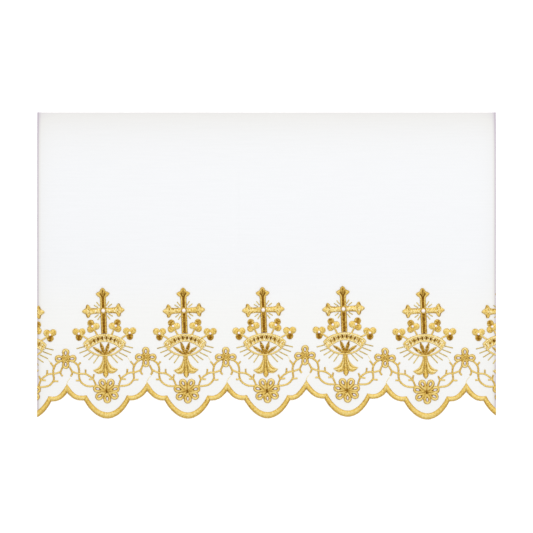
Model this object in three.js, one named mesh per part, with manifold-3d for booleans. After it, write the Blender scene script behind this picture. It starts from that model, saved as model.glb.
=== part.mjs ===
// A cut length of white altar cloth with a gold embroidered border along its scalloped lower edge, flat.
// Millimetres. +X runs along the border, +Y up the cloth, +Z out of its face. The origin is the middle of
// the underside. The ornament is charted in each repeat's own frame: x along the border, y up from the
// scallop's lowest point.
import * as THREE from 'three';
import { mergeVertices } from 'three/addons/utils/BufferGeometryUtils.js';
import Module from 'manifold-3d';

const wasm = await Module();
wasm.setup();

// The sheet
const CLOTH_WIDTH = 418.6;
const CLOTH_TOP = 140.1;
const CLOTH_THICK = 1.2;
const SIDE = CLOTH_WIDTH / 2;
const TOP_SLOPE = { from: 126.5, drop: 0.35 };
const TRIM_INSET = 0.5; // the cloth is trimmed this far inside the edging's outer stitches

// Heights of the needlework over the cloth, which it clears by SEAT
const SEAT = 0.3;
const BASE = CLOTH_THICK + SEAT;
const HEIGHT = { edging: 0.9, shoulder: 0.45, cross: 1.0, arch: 0.9, foot: 0.8, rosette: 0.8, link: 0.7 };
const TIDY = 0.04; // joined outlines are true to within this

// The scalloped edge: each repeat's lowest point, how many degrees its ornament leans with the stitching
// frame, how far its cross and arch sit high and its rosette and right outer trefoil low, and each cusp
// between repeats
const LOBES = [
  { name: 'left', x: -216.8, y: -140.1, lean: 3.0, lift: -1.2, rosetteDrop: 0, trefoilDrop: 0 },
  { name: '1', x: -145.2, y: -139.2, lean: 2.2, lift: 0.1, rosetteDrop: 0, trefoilDrop: 0.2 },
  { name: '2', x: -71.7, y: -139.3, lean: 2.2, lift: 0.4, rosetteDrop: 0, trefoilDrop: 0.9 },
  { name: '3', x: 1.1, y: -139.0, lean: 2.4, lift: 0.7, rosetteDrop: 0, trefoilDrop: 0.5 },
  { name: '4', x: 74.1, y: -137.6, lean: 2.3, lift: 0.1, rosetteDrop: 1.0, trefoilDrop: 1.7 },
  { name: '5', x: 146.8, y: -140.1, lean: 2.2, lift: 0.9, rosetteDrop: 0, trefoilDrop: 0.7 },
  { name: 'right', x: 219.4, y: -139.8, lean: 2.2, lift: 0.4, rosetteDrop: 0, trefoilDrop: 0 },
];
const CUSPS = [
  { x: -182.0, y: -111.9 },
  { x: -108.9, y: -110.2 },
  { x: -35.9, y: -110.2 },
  { x: 36.4, y: -108.4 },
  { x: 109.5, y: -111.1 },
  { x: 182.3, y: -110.8 },
];
const LINK_BELOW_CUSP = 0.9; // the vine links are charted from this far below a cusp
const CUSP_OVER_LOBE = 28.0; // how far that point lies over its neighbour lobes, as charted
const LOBE_CURVE = { tipY: 2.7, tipPull: 8.7, sideX: 16.2, sideY: 11.7, endX: 19.5, endY: 18.8, skew: 0.03 };
const SMALL_CURVE = { cuspX: 4.7, cuspY: 6.9, endX: 7.8, endY: 1.4 };
const EDGING = { tipWidth: 6.0, sideWidth: 4.4, cuspWidth: 4.9 };
const LOBE_STEPS = 6;
const SMALL_STEPS = 5;

// Budded cross: half outlines of an arm and of the head, distance out from the centre and half width
const CROSS = { y: 97.9, barHalf: 2.5, footY: 77.7, pearlHole: 2.2 };
const ARM = [
  { out: 2.5, half: 2.6 },
  { out: 8.7, half: 2.5 },
  { out: 11.6, half: 3.6 },
  { out: 13.0, half: 5.9 },
  { out: 14.4, half: 6.7 },
  { out: 15.7, half: 5.4 },
  { out: 16.1, half: 3.0 },
  { out: 18.2, half: 2.3 },
  { out: 19.4, half: 0.7 },
];
const HEAD = [
  { out: 2.5, half: 2.5 },
  { out: 10.2, half: 2.5 },
  { out: 13.1, half: 3.2 },
  { out: 14.7, half: 5.5 },
  { out: 16.3, half: 5.9 },
  { out: 17.3, half: 3.1 },
  { out: 19.4, half: 2.2 },
  { out: 21.0, half: 0.7 },
];
const PEARL = { radius: 1.85, height: 2.0 };

// Arch over the eye-shaped opening: outer and inner curves from the middle outwards
const ARCH_OUTER = [
  { x: 0, y: 77.4 },
  { x: 7.9, y: 76.2 },
  { x: 14.5, y: 73.5 },
  { x: 19.3, y: 69.0 },
];
const ARCH_END = { x: 18.7, y: 65.9 };
const ARCH_INNER = [
  { x: 15.3, y: 63.2 },
  { x: 10.6, y: 66.9 },
  { x: 4.8, y: 69.8 },
  { x: 0, y: 70.8 },
];
const ARCH_STEPS = 5;
const ARCH_TURN = { y: 70, degrees: -1.0 }; // the arch leans less than the rest, turned back about its middle
const LOWER_LINE = [
  { x: 16.2, y: 63.8 },
  { x: 11.5, y: 60.1 },
  { x: 7.0, y: 58.1 },
  { x: 0.3, y: 57.2 },
];
const LINE_WIDTH = 1.4;
const LEAF_ROOT = { x: 0.3, y: 57.4 };
const LEAVES = [
  { tipX: -10.4, tipY: 64.4, width: 2.6 },
  { tipX: -3.9, tipY: 68.6, width: 2.8 },
  { tipX: 4.0, tipY: 68.0, width: 2.8 },
  { tipX: 10.8, tipY: 64.5, width: 2.6 },
];

// Trefoils: place of the bead, and the three lobes' directions in degrees on the right-hand side
const TREFOILS = [
  { x: 23.2, y: 77.6, stemX: 15.4, stemY: 72.6, lobes: [33, 150, 270] },
  { x: 10.7, y: 84.3, stemX: 7.6, stemY: 75.6, lobes: [62, 182, 305] },
];
const TREFOIL = { lobeOut: 3.3, lobeRadius: 3.15, lobeSides: 8, middle: 2.2, stemWidth: 1.5 };

// Foot under the arch, right half from its neck down to the drop's tip
const FOOT = [
  { x: 1.7, y: 56.2 },
  { x: 2.1, y: 54.4 },
  { x: 2.9, y: 51.8 },
  { x: 5.0, y: 48.4 },
  { x: 7.4, y: 46.4 },
  { x: 9.4, y: 45.4 },
  { x: 11.6, y: 44.6 },
  { x: 10.5, y: 42.6 },
  { x: 8.3, y: 41.2 },
  { x: 5.3, y: 41.0 },
  { x: 3.1, y: 41.8 },
  { x: 2.3, y: 39.3 },
  { x: 0.7, y: 36.7 },
];

// Looped petals: direction in degrees, and reach from the flower's centre
const ROSETTE = { x: 0.3, y: 24.6, petalRadius: 3.3, root: 0.7, boss: 2.6 };
const ROSETTE_PETALS = [
  { angle: 115, reach: 11.6 },
  { angle: 63, reach: 11.5 },
  { angle: 16, reach: 11.9 },
  { angle: -32, reach: 11.9 },
  { angle: -86, reach: 10.7 },
  { angle: -148, reach: 11.9 },
  { angle: 164, reach: 12.1 },
];
const FLOWER = { x: -1.3, y: 27.6, petalRadius: 3.2, root: 0.6, boss: 2.4 };
const FLOWER_PETALS = [
  { angle: 90, reach: 9.4 },
  { angle: 180, reach: 9.9 },
  { angle: -90, reach: 9.0 },
  { angle: 0, reach: 9.8 },
];
const PETAL_SIDES = 6;
const EYELET = { length: 1.5, width: 1.1 };

// Vines of a link, in the frame of its cusp, each a smooth line through a few points
const VINES = [
  { width: 1.5, points: [[-5.6, 25.1], [-9.8, 22.5], [-12.4, 17.8], [-12.6, 12.9], [-12.0, 8.7], [-13.5, 5.3],
    [-17.8, 1.8], [-24.2, 0.7]] },
  { width: 1.4, points: [[-3.9, 20.1], [-5.9, 15.2], [-5.5, 12.9], [-4.1, 11.4]] },
  { width: 1.4, points: [[-5.9, 15.2], [-11.4, 13.4], [-15.6, 13.1], [-18.6, 11.9], [-23.5, 8.2],
    [-25.4, 3.7]] },
  { width: 1.3, points: [[-18.6, 12.1], [-18.0, 16.5]] },
  { width: 1.3, points: [[-24.3, 7.5], [-25.7, 11.1]] },
  { width: 1.3, points: [[-24.0, 7.3], [-19.4, 7.1]] },
  { width: 1.3, points: [[-12.8, 6.6], [-8.1, 6.6]] },
  { width: 1.3, points: [[-23.4, 31.3], [-18.9, 29.0], [-14.3, 23.9], [-12.2, 19.4]] },
  { width: 1.5, points: [[4.4, 25.1], [9.0, 21.8], [10.9, 17.1], [10.9, 10.6], [12.3, 5.9], [15.6, 2.7],
    [19.8, 1.0], [23.9, 0.8]] },
  { width: 1.4, points: [[2.1, 19.9], [4.3, 15.7], [4.6, 13.4], [3.3, 11.1]] },
  { width: 1.4, points: [[4.3, 15.5], [8.1, 14.4], [12.8, 13.4], [17.0, 12.7], [19.8, 10.9], [23.2, 8.2],
    [25.1, 4.3]] },
  { width: 1.3, points: [[17.0, 12.8], [16.8, 16.5]] },
  { width: 1.3, points: [[23.6, 7.7], [24.6, 11.6]] },
  { width: 1.3, points: [[23.6, 7.2], [19.9, 7.2]] },
  { width: 1.3, points: [[11.6, 6.9], [8.1, 6.9]] },
  { width: 1.3, points: [[10.0, 20.6], [12.3, 23.3]] },
];
const VINE_STEP = 4.6;
const LINK_REACH = 25;

// Faint vertical creases and puckers of the cloth: place, half width, ends and depth
const CREASES = [
  { x: -28.2, half: 2.4, top: 102, bottom: -52, depth: 0.3 },
  { x: -160, half: 4, top: 12, bottom: -30, depth: 0.15 },
  { x: -93, half: 4, top: 30, bottom: -34, depth: 0.18 },
  { x: -76, half: 3, top: 22, bottom: -30, depth: 0.15 },
  { x: -52, half: 4, top: 26, bottom: -34, depth: 0.18 },
  { x: -12, half: 4, top: 34, bottom: -20, depth: 0.2 },
  { x: 14, half: 4, top: 28, bottom: -34, depth: 0.18 },
  { x: 62, half: 4, top: 20, bottom: -26, depth: 0.15 },
  { x: 142, half: 4, top: 10, bottom: -24, depth: 0.15 },
];
const PANEL_ROWS = [-57, -34, -14, 8, 30, 98, 126.5, 135, 140.1];
const PANEL_COLUMN = 40;

const finish = (color, roughness, metalness) => new THREE.MeshStandardMaterial({ color, roughness, metalness });
const whiteCloth = () => finish('#f4f5f8', 0.9, 0);
const goldThread = () => finish('#d9b45c', 0.45, 0.35);
const pearlGloss = () => finish('#f5f0f0', 0.2, 0);

const point = (x, y) => new THREE.Vector2(x, y);
const inDegrees = (angle) => THREE.MathUtils.degToRad(angle);

// Turns a closed geometry into a solid that can be joined and cut.
function solid(geometry) {
  const bare = geometry.index ? geometry.toNonIndexed() : geometry;
  bare.deleteAttribute('normal');
  bare.deleteAttribute('uv');
  const merged = mergeVertices(bare, 1e-4);
  return new wasm.Manifold(
    new wasm.Mesh({
      numProp: 3,
      vertProperties: new Float32Array(merged.attributes.position.array),
      triVerts: new Uint32Array(merged.index.array),
    }),
  );
}

// Turns a solid back into a named mesh.
function named(name, body, material) {
  const mesh = body.getMesh();
  const geometry = new THREE.BufferGeometry();
  geometry.setAttribute('position', new THREE.BufferAttribute(new Float32Array(mesh.vertProperties), 3));
  geometry.setIndex(new THREE.BufferAttribute(new Uint32Array(mesh.triVerts), 1));
  const piece = new THREE.Mesh(geometry, material);
  piece.name = name;
  return piece;
}

// A flat pad of the outline, from the needlework's base up to the height, with the holes left open.
function pad(outline, height, holes = []) {
  const shape = new THREE.Shape(outline);
  shape.holes = holes.map((hole) => new THREE.Path(hole));
  const geometry = new THREE.ExtrudeGeometry(shape, { depth: height, bevelEnabled: false });
  geometry.translate(0, 0, BASE);
  return solid(geometry);
}

// One body of all the given ones, without the points that its level faces don't need.
const joined = (bodies) => bodies.reduce((whole, body) => whole.add(body)).asOriginal().simplify(TIDY);

// The part of a body that lies between the cloth's two cut sides.
function betweenSides(body) {
  const box = new THREE.BoxGeometry(CLOTH_WIDTH, 3 * CLOTH_WIDTH, 20);
  return body.intersect(solid(box));
}

// Outline of a line of even width: its two sides, each point set off square to the line there.
function ribbon(line, width) {
  const side = (sign) =>
    line.map((at, i) => {
      const ahead = line[Math.min(i + 1, line.length - 1)];
      const behind = line[Math.max(i - 1, 0)];
      const along = ahead.clone().sub(behind).normalize();
      return point(at.x - (sign * along.y * width) / 2, at.y + (sign * along.x * width) / 2);
    });
  return [...side(-1), ...side(1).reverse()];
}

// Points evenly spaced on a smooth line through the given ones.
function smooth(points, step) {
  if (points.length === 2) return points;
  const curve = new THREE.SplineCurve(points);
  return curve.getSpacedPoints(Math.max(2, Math.round(curve.getLength() / step)));
}

// A circle's points, or an ellipse's, turned by the angle.
function ring(x, y, radiusX, radiusY, sides, angle = 0) {
  return Array.from({ length: sides }, (_, i) => {
    const turn = (2 * Math.PI * i) / sides;
    const out = point(radiusX * Math.cos(turn), radiusY * Math.sin(turn)).rotateAround(point(0, 0), angle);
    return out.add(point(x, y));
  });
}

// Moves a repeat's charted point into place: leaned about the lobe's tip, then set down there.
const inLobe = (lobe, lift = 0) => {
  const lowest = point(lobe.x, lobe.y + lift);
  return (at) => at.clone().rotateAround(point(0, 0), inDegrees(lobe.lean)).add(lowest);
};

// Moves a link's charted point into place, its outer ends rising or falling with the lobe on their side.
const inLink = (cusp, left, right) => (at) => {
  const lobe = at.x < 0 ? left : right;
  const y = cusp.y - LINK_BELOW_CUSP;
  const rise = lobe.y - y + CUSP_OVER_LOBE;
  const share = Math.min(1, Math.abs(at.x) / LINK_REACH);
  return point(cusp.x + at.x, y + at.y + rise * share);
};

// Centre line and width of the edging, from the cloth's left side to its right.
function edgingLine() {
  const stations = [];
  const skewed = (lobe, x, y) => point(lobe.x + x - LOBE_CURVE.skew * y, lobe.y + y);
  const addCurve = (curve, steps, widthAt) => {
    for (let i = 0; i <= steps; i += 1) {
      const at = curve.getPoint(i / steps);
      const last = stations[stations.length - 1];
      if (last && last.at.distanceTo(at) < 1e-6) continue;
      stations.push({ at, width: widthAt(i / steps) });
    }
  };
  const lobeHalf = (lobe, sign) => {
    const c = LOBE_CURVE;
    return [
      skewed(lobe, 0, c.tipY),
      skewed(lobe, sign * c.tipPull, c.tipY),
      skewed(lobe, sign * c.sideX, c.sideY),
      skewed(lobe, sign * c.endX, c.endY),
    ];
  };
  const smallHalf = (cusp, end, sign) => [
    point(cusp.x, cusp.y),
    point(cusp.x + sign * SMALL_CURVE.cuspX, cusp.y - SMALL_CURVE.cuspY),
    point(end.x - sign * SMALL_CURVE.endX, end.y - SMALL_CURVE.endY),
    end,
  ];
  const bezier = (points) => new THREE.CubicBezierCurve(...points);
  const lobeWidth = (t) => THREE.MathUtils.lerp(EDGING.tipWidth, EDGING.sideWidth, t);
  const smallWidth = (t) => THREE.MathUtils.lerp(EDGING.cuspWidth, EDGING.sideWidth, t);
  LOBES.forEach((lobe, i) => {
    const left = lobeHalf(lobe, -1);
    const right = lobeHalf(lobe, 1);
    if (i > 0) {
      addCurve(bezier(smallHalf(CUSPS[i - 1], left[3], 1)), SMALL_STEPS, smallWidth);
      addCurve(bezier(left.reverse()), LOBE_STEPS, (t) => lobeWidth(1 - t));
    }
    if (i < LOBES.length - 1) {
      addCurve(bezier(right), LOBE_STEPS, lobeWidth);
      addCurve(bezier(smallHalf(CUSPS[i], right[3], -1).reverse()), SMALL_STEPS, (t) => smallWidth(1 - t));
    }
  });
  return stations;
}

// Points set off to one side of the edging's line by a share of its width, mitred at corners.
function offsetLine(stations, share, inset = 0) {
  return stations.map(({ at, width }, i) => {
    const ahead = stations[Math.min(i + 1, stations.length - 1)].at.clone().sub(at);
    const behind = at.clone().sub(stations[Math.max(i - 1, 0)].at);
    if (i === 0) behind.copy(ahead);
    if (i === stations.length - 1) ahead.copy(behind);
    ahead.normalize();
    behind.normalize();
    const along = ahead.clone().add(behind).normalize();
    const mitre = 1 / along.dot(ahead);
    const off = (share * width - Math.sign(share) * inset) * mitre;
    return point(at.x + along.y * off, at.y - along.x * off);
  });
}

// The edging: a crowned five-sided section carried along the line, closed at both ends.
function edging(stations) {
  const outer = offsetLine(stations, 0.5);
  const inner = offsetLine(stations, -0.5);
  const corners = 5;
  const positions = [];
  stations.forEach(({ at }, i) => {
    const section = [
      [outer[i], BASE],
      [outer[i], BASE + HEIGHT.shoulder],
      [at, BASE + HEIGHT.edging],
      [inner[i], BASE + HEIGHT.shoulder],
      [inner[i], BASE],
    ];
    section.forEach(([p, z]) => positions.push(p.x, p.y, z));
  });
  const index = [];
  for (let i = 0; i + 1 < stations.length; i += 1) {
    for (let j = 0; j < corners; j += 1) {
      const here = i * corners + j;
      const beside = i * corners + ((j + 1) % corners);
      index.push(here, here + corners, beside, beside, here + corners, beside + corners);
    }
  }
  const last = (stations.length - 1) * corners;
  for (let j = 1; j + 1 < corners; j += 1) {
    index.push(0, j, j + 1, last, last + j + 1, last + j);
  }
  const geometry = new THREE.BufferGeometry();
  geometry.setAttribute('position', new THREE.BufferAttribute(new Float32Array(positions), 3));
  geometry.setIndex(index);
  return betweenSides(solid(geometry));
}

// Height of the cloth's face: level, sloping off at the top edge, with a soft trough at each crease.
function faceHeight(x, y) {
  const slope = THREE.MathUtils.clamp((y - TOP_SLOPE.from) / (CLOTH_TOP - TOP_SLOPE.from), 0, 1);
  let height = CLOTH_THICK - TOP_SLOPE.drop * slope * slope;
  CREASES.forEach((crease) => {
    const across = Math.max(0, 1 - Math.abs(x - crease.x) / crease.half);
    const fromEnd = Math.min(crease.top - y, y - crease.bottom);
    const along = THREE.MathUtils.clamp(fromEnd / ((crease.top - crease.bottom) / 3), 0, 1);
    height -= crease.depth * across * along;
  });
  return height;
}

// The part of a line, running left to right, that lies between the cloth's sides.
function trimmed(line) {
  const crossing = (a, b, x) => point(x, THREE.MathUtils.lerp(a.y, b.y, (x - a.x) / (b.x - a.x)));
  const kept = [];
  line.forEach((at, i) => {
    const before = line[i - 1];
    if (before && before.x < -SIDE && at.x > -SIDE) kept.push(crossing(before, at, -SIDE));
    if (before && before.x < SIDE && at.x > SIDE) kept.push(crossing(before, at, SIDE));
    if (Math.abs(at.x) < SIDE) kept.push(at);
  });
  return kept;
}

// Columns of the creased panel: an even spread, with three more at each crease.
function panelColumns() {
  const count = Math.round(CLOTH_WIDTH / PANEL_COLUMN);
  const even = Array.from({ length: count + 1 }, (_, i) => -SIDE + (CLOTH_WIDTH * i) / count);
  const clear = even.filter((x) => CREASES.every((c) => Math.abs(x - c.x) > c.half + 2));
  const extra = CREASES.flatMap((c) => [c.x - c.half, c.x, c.x + c.half]);
  return [...clear, ...extra].sort((a, b) => a - b);
}

// The sheet: a flat underside, an upper face of rows and columns, and upright cut edges all round.
function cloth(stations) {
  const hem = trimmed(offsetLine(stations, 0.5, TRIM_INSET));
  const columns = panelColumns();
  const vertices = [];
  const index = [];
  const vertex = (x, y, z) => vertices.push([x, y, z]) - 1;
  const upper = PANEL_ROWS.map((y) => columns.map((x) => vertex(x, y, faceHeight(x, y))));
  const hemUpper = hem.map((at) => vertex(at.x, at.y, CLOTH_THICK));
  for (let r = 0; r + 1 < upper.length; r += 1) {
    for (let c = 0; c + 1 < columns.length; c += 1) {
      const [a, b, d, e] = [upper[r][c], upper[r][c + 1], upper[r + 1][c], upper[r + 1][c + 1]];
      index.push(a, b, d, d, b, e);
    }
  }
  // The embroidered strip between the hem and the panel: triangles that step along whichever line is behind.
  const foot = upper[0];
  let i = 0;
  let j = 0;
  while (i + 1 < hemUpper.length || j + 1 < foot.length) {
    const nextHem = i + 1 < hemUpper.length ? vertices[hemUpper[i + 1]][0] : Infinity;
    const nextFoot = j + 1 < foot.length ? vertices[foot[j + 1]][0] : Infinity;
    if (nextHem <= nextFoot) {
      index.push(hemUpper[i], hemUpper[i + 1], foot[j]);
      i += 1;
    } else {
      index.push(hemUpper[i], foot[j + 1], foot[j]);
      j += 1;
    }
  }
  // Right round the edge, anticlockwise from above: hem, right side, top, left side.
  const rightSide = upper.map((row) => row[row.length - 1]);
  const topSide = [...upper[upper.length - 1]].reverse().slice(1);
  const leftSide = upper.map((row) => row[0]).reverse().slice(1);
  const rim = [...hemUpper, ...rightSide, ...topSide, ...leftSide];
  const rimLower = rim.map((k) => vertex(vertices[k][0], vertices[k][1], 0));
  rim.forEach((here, k) => {
    const next = (k + 1) % rim.length;
    index.push(here, rimLower[k], rim[next], rim[next], rimLower[k], rimLower[next]);
  });
  const outline = rimLower.map((k) => point(vertices[k][0], vertices[k][1]));
  THREE.ShapeUtils.triangulateShape(outline, []).forEach(([a, b, c]) => {
    index.push(rimLower[a], rimLower[c], rimLower[b]);
  });
  const geometry = new THREE.BufferGeometry();
  geometry.setAttribute('position', new THREE.BufferAttribute(new Float32Array(vertices.flat()), 3));
  geometry.setIndex(index);
  return solid(geometry);
}

// Both sides of a half outline about the way out, root first, as one closed outline.
function bothSides(half, toPoint) {
  const right = half.map(({ out, half: w }) => toPoint(out, w));
  const left = half.map(({ out, half: w }) => toPoint(out, -w)).reverse();
  return [...right, ...left];
}

function crossBody(place) {
  const arm = (sign) => bothSides(ARM, (out, w) => place(point(sign * out, CROSS.y + sign * w)));
  const head = bothSides(HEAD, (out, w) => place(point(-w, CROSS.y + out)));
  const bar = [
    point(-CROSS.barHalf, CROSS.footY),
    point(CROSS.barHalf, CROSS.footY),
    point(CROSS.barHalf, CROSS.y - CROSS.barHalf),
    point(-CROSS.barHalf, CROSS.y - CROSS.barHalf),
  ].map(place);
  const boss = ring(0, CROSS.y, 3.8, 3.8, 12).map(place);
  const hole = ring(0, CROSS.y, CROSS.pearlHole, CROSS.pearlHole, 10).map(place);
  const whole = joined([arm(1), arm(-1), head, bar, boss].map((outline) => pad(outline, HEIGHT.cross)));
  return whole.subtract(pad(hole, HEIGHT.cross + 1));
}

function pearlBody(place) {
  const profile = Array.from({ length: 5 }, (_, i) => {
    const rise = (Math.PI / 2) * (i / 4);
    return point(PEARL.radius * Math.cos(rise), BASE + PEARL.height * Math.sin(rise));
  });
  profile[profile.length - 1].x = 0;
  const geometry = new THREE.LatheGeometry([point(0, BASE), ...profile], 10);
  geometry.rotateX(Math.PI / 2);
  const centre = place(point(0, CROSS.y));
  geometry.translate(centre.x, centre.y, 0);
  return solid(geometry);
}

function archBody(place, trefoilDrop) {
  const half = (rows, sign) => rows.map(({ x, y }) => point(sign * x, y));
  const curved = (points) => new THREE.SplineCurve(points).getPoints(2 * ARCH_STEPS);
  const turned = (at) => place(at.clone().rotateAround(point(0, ARCH_TURN.y), inDegrees(ARCH_TURN.degrees)));
  const outer = curved([...half(ARCH_OUTER, -1).reverse(), ...half(ARCH_OUTER, 1).slice(1)]);
  const inner = curved([...half(ARCH_INNER, 1), ...half(ARCH_INNER, -1).reverse().slice(1)]);
  const band = [...outer, point(ARCH_END.x, ARCH_END.y), ...inner, point(-ARCH_END.x, ARCH_END.y)];
  const pads = [pad(band.map(turned).reverse(), HEIGHT.arch)];
  [1, -1].forEach((sign) => {
    pads.push(pad(ribbon(half(LOWER_LINE, sign), LINE_WIDTH).map(turned), HEIGHT.arch));
    TREFOILS.forEach((t, i) => {
      const y = t.y - (sign > 0 && i === 0 ? trefoilDrop : 0);
      const stem = [point(sign * t.stemX, t.stemY), point(sign * t.x, y)];
      pads.push(pad(ribbon(stem, TREFOIL.stemWidth).map(turned), HEIGHT.arch));
      const middle = ring(sign * t.x, y, TREFOIL.middle, TREFOIL.middle, 6);
      pads.push(pad(middle.map(turned), HEIGHT.arch));
      t.lobes.forEach((angle) => {
        const out = point(TREFOIL.lobeOut, 0).rotateAround(point(0, 0), inDegrees(angle));
        const lobe = ring(
          sign * (t.x + out.x),
          y + out.y,
          TREFOIL.lobeRadius,
          TREFOIL.lobeRadius,
          TREFOIL.lobeSides,
          inDegrees(angle),
        );
        pads.push(pad(lobe.map(turned), HEIGHT.arch));
      });
    });
  });
  LEAVES.forEach((leaf) => {
    const root = point(LEAF_ROOT.x, LEAF_ROOT.y);
    const tip = point(leaf.tipX, leaf.tipY);
    const along = tip.clone().sub(root);
    const across = point(-along.y, along.x).setLength(leaf.width / 2);
    const belly = (share, sign) => root.clone().addScaledVector(along, share).addScaledVector(across, sign);
    const outline = [root, belly(0.35, -0.8), belly(0.65, -1), tip, belly(0.65, 1), belly(0.35, 0.8)];
    pads.push(pad(outline.map(turned), HEIGHT.arch));
  });
  return joined(pads);
}

function footBody(place) {
  const right = FOOT.map(({ x, y }) => point(x, y));
  const left = FOOT.map(({ x, y }) => point(-x, y)).reverse();
  return pad([...right, ...left].reverse().map(place), HEIGHT.foot);
}

// A flower of looped petals: each a round end drawn in to a point by the centre, with an eyelet for a stone.
function flowerBody(flower, petals, height, place) {
  const r = flower.petalRadius;
  const pads = petals.map(({ angle, reach }) => {
    const out = reach - r;
    const turn = Math.acos(r / (out - flower.root));
    const round = Array.from({ length: PETAL_SIDES }, (_, i) => {
      const at = Math.PI - turn - (2 * (Math.PI - turn) * i) / (PETAL_SIDES - 1);
      return point(out + r * Math.cos(at), r * Math.sin(at));
    });
    const turned = (p) => p.rotateAround(point(0, 0), inDegrees(angle)).add(point(flower.x, flower.y));
    const outline = [point(flower.root, 0), ...round].map(turned).map(place);
    const eyelet = ring(out, 0, EYELET.length, EYELET.width, 6).map(turned).map(place);
    return pad(outline.reverse(), height, [eyelet]);
  });
  const boss = ring(flower.x, flower.y, flower.boss, flower.boss, 8).map(place);
  return joined([...pads, pad(boss, height)]);
}

function linkBody(place) {
  const vines = VINES.map(({ width, points }) => {
    const line = smooth(points.map(([x, y]) => point(x, y)), VINE_STEP);
    return pad(ribbon(line, width).map(place), HEIGHT.link);
  });
  return joined([flowerBody(FLOWER, FLOWER_PETALS, HEIGHT.link, place), ...vines]);
}

const altarCloth = new THREE.Group();
const stations = edgingLine();
altarCloth.add(named('cloth', cloth(stations), whiteCloth()));
altarCloth.add(named('scallop_edging', edging(stations), goldThread()));

// Whole repeats give one mesh each; one that a side cuts gives a mesh for each island left on the cloth.
LOBES.forEach((lobe) => {
  const place = inLobe(lobe);
  const lifted = inLobe(lobe, lobe.lift);
  const rosette = { ...ROSETTE, y: ROSETTE.y - lobe.rosetteDrop };
  const bodies = {
    cross: crossBody(lifted),
    arch: archBody(lifted, lobe.trefoilDrop),
    foot: footBody(place),
    rosette: flowerBody(rosette, ROSETTE_PETALS, HEIGHT.rosette, place),
  };
  Object.entries(bodies).forEach(([kind, body]) => {
    const islands = betweenSides(body)
      .decompose()
      .filter((island) => island.volume() > 1)
      .sort((a, b) => b.volume() - a.volume());
    islands.forEach((island, i) => {
      const suffix = islands.length > 1 ? `_${'abcdef'[i]}` : '';
      altarCloth.add(named(`${kind}_${lobe.name}${suffix}`, island, goldThread()));
    });
  });
  if (Math.abs(lifted(point(0, CROSS.y)).x) < SIDE) {
    altarCloth.add(named(`pearl_${lobe.name}`, pearlBody(lifted), pearlGloss()));
  }
});

CUSPS.forEach((cusp, i) => {
  const link = linkBody(inLink(cusp, LOBES[i], LOBES[i + 1]));
  altarCloth.add(named(`link_${i + 1}`, betweenSides(link), goldThread()));
});

export default altarCloth;
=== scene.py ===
"""A cut length of white altar cloth with a gold embroidered border along its scalloped lower edge.

The sheet, the satin-stitched needlework, the pearls, the beads and the small stones are made here around
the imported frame. Sizes in the tables are in millimetres in the frame's axes: x along the border, y up the
cloth, z out of its face. The ornament is charted in each repeat's own frame, from the lowest point of the
repeat's scallop.
"""

from collections import namedtuple

import bmesh
import bpy
import numpy as np
from bpy.props import FloatProperty, FloatVectorProperty, PointerProperty
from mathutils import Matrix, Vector


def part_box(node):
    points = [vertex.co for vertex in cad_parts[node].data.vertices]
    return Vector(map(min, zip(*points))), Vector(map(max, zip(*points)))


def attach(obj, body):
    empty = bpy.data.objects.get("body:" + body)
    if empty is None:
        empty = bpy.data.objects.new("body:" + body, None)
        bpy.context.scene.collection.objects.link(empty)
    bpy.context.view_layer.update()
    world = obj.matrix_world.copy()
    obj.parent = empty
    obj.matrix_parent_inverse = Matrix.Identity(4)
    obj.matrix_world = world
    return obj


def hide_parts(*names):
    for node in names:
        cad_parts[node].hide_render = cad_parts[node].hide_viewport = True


bl_info = {
    "name": "Altar cloth",
    "version": (1, 0, 0),
    "blender": (4, 5, 0),
    "location": "3D View > Sidebar > Altar Cloth",
    "description": "Makes a length of embroidered altar cloth, its pearls and its stage",
    "category": "Object",
}

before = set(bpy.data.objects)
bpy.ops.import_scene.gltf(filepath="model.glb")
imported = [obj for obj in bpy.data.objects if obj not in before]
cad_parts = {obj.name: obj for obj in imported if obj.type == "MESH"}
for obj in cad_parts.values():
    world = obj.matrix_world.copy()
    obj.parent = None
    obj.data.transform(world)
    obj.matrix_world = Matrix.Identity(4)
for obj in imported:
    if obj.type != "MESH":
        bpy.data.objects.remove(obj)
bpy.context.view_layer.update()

MM = 0.001

# The sheet, from the frame
CLOTH_LOW, CLOTH_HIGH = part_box("cloth")
SIDE, TOP, FACE = (part / MM for part in CLOTH_HIGH)

# The sheet's grid: spacing along and up the cloth, the hem's mean place, and the trim's way into the edging
SHEET_STEPS = (2.05, 2.1)
HEM_MEAN = -126.0
TRIM_INSET = 0.5
# Its rim: its points' distances in, its radius, the underside's share of the bend, the face's least height
RIM_STEPS = (0.0, 0.08, 0.25, 0.5, 1.0, 1.8)
RIM, UNDERSIDE_BEND, LEAST_FACE = 0.42, 0.75, 0.45
# Painted shade at the cut sides: reach, and strength at the left and the right. A wider, fainter
# painted shade there and one at the top
SIDE_SHADE, SIDE_SHADE_LEFT, SIDE_SHADE_RIGHT = 1.5, 0.95, 0.85
SIDE_WIDE_SHADE, SIDE_WIDE_SHADE_REACH = 0.2, 6.0
TOP_SHADE, TOP_SHADE_REACH = 0.42, 19.0
# The gold's warm light on the cloth: where it is at half, how gently it fades, and what it does to the colour
WARM_Y, WARM_FADE = -25.0, 8.0
WARM_TINT = (0.018, 0.009, -0.024)
# Where the face starts to slope to the top edge, and the line round which its puckers lie
SLOPE_Y = 126.5
PUCKER_Y, PUCKER_REACH = -12.0, 32.0
# The puckers' waves, the level that they are measured from, and the size of the patches that they come in
PUCKER_WAVES = [
    # share, size across, phase, sway, the sway's size up the cloth and its phase
    (1.0, 4.1, 0.0, 0.6, 17, 0),
    (0.7, 6.7, 1.3, 0.8, 23, 1),
]
PUCKER_LEVEL, PUCKER_PATCH = 1.2, 31

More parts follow.
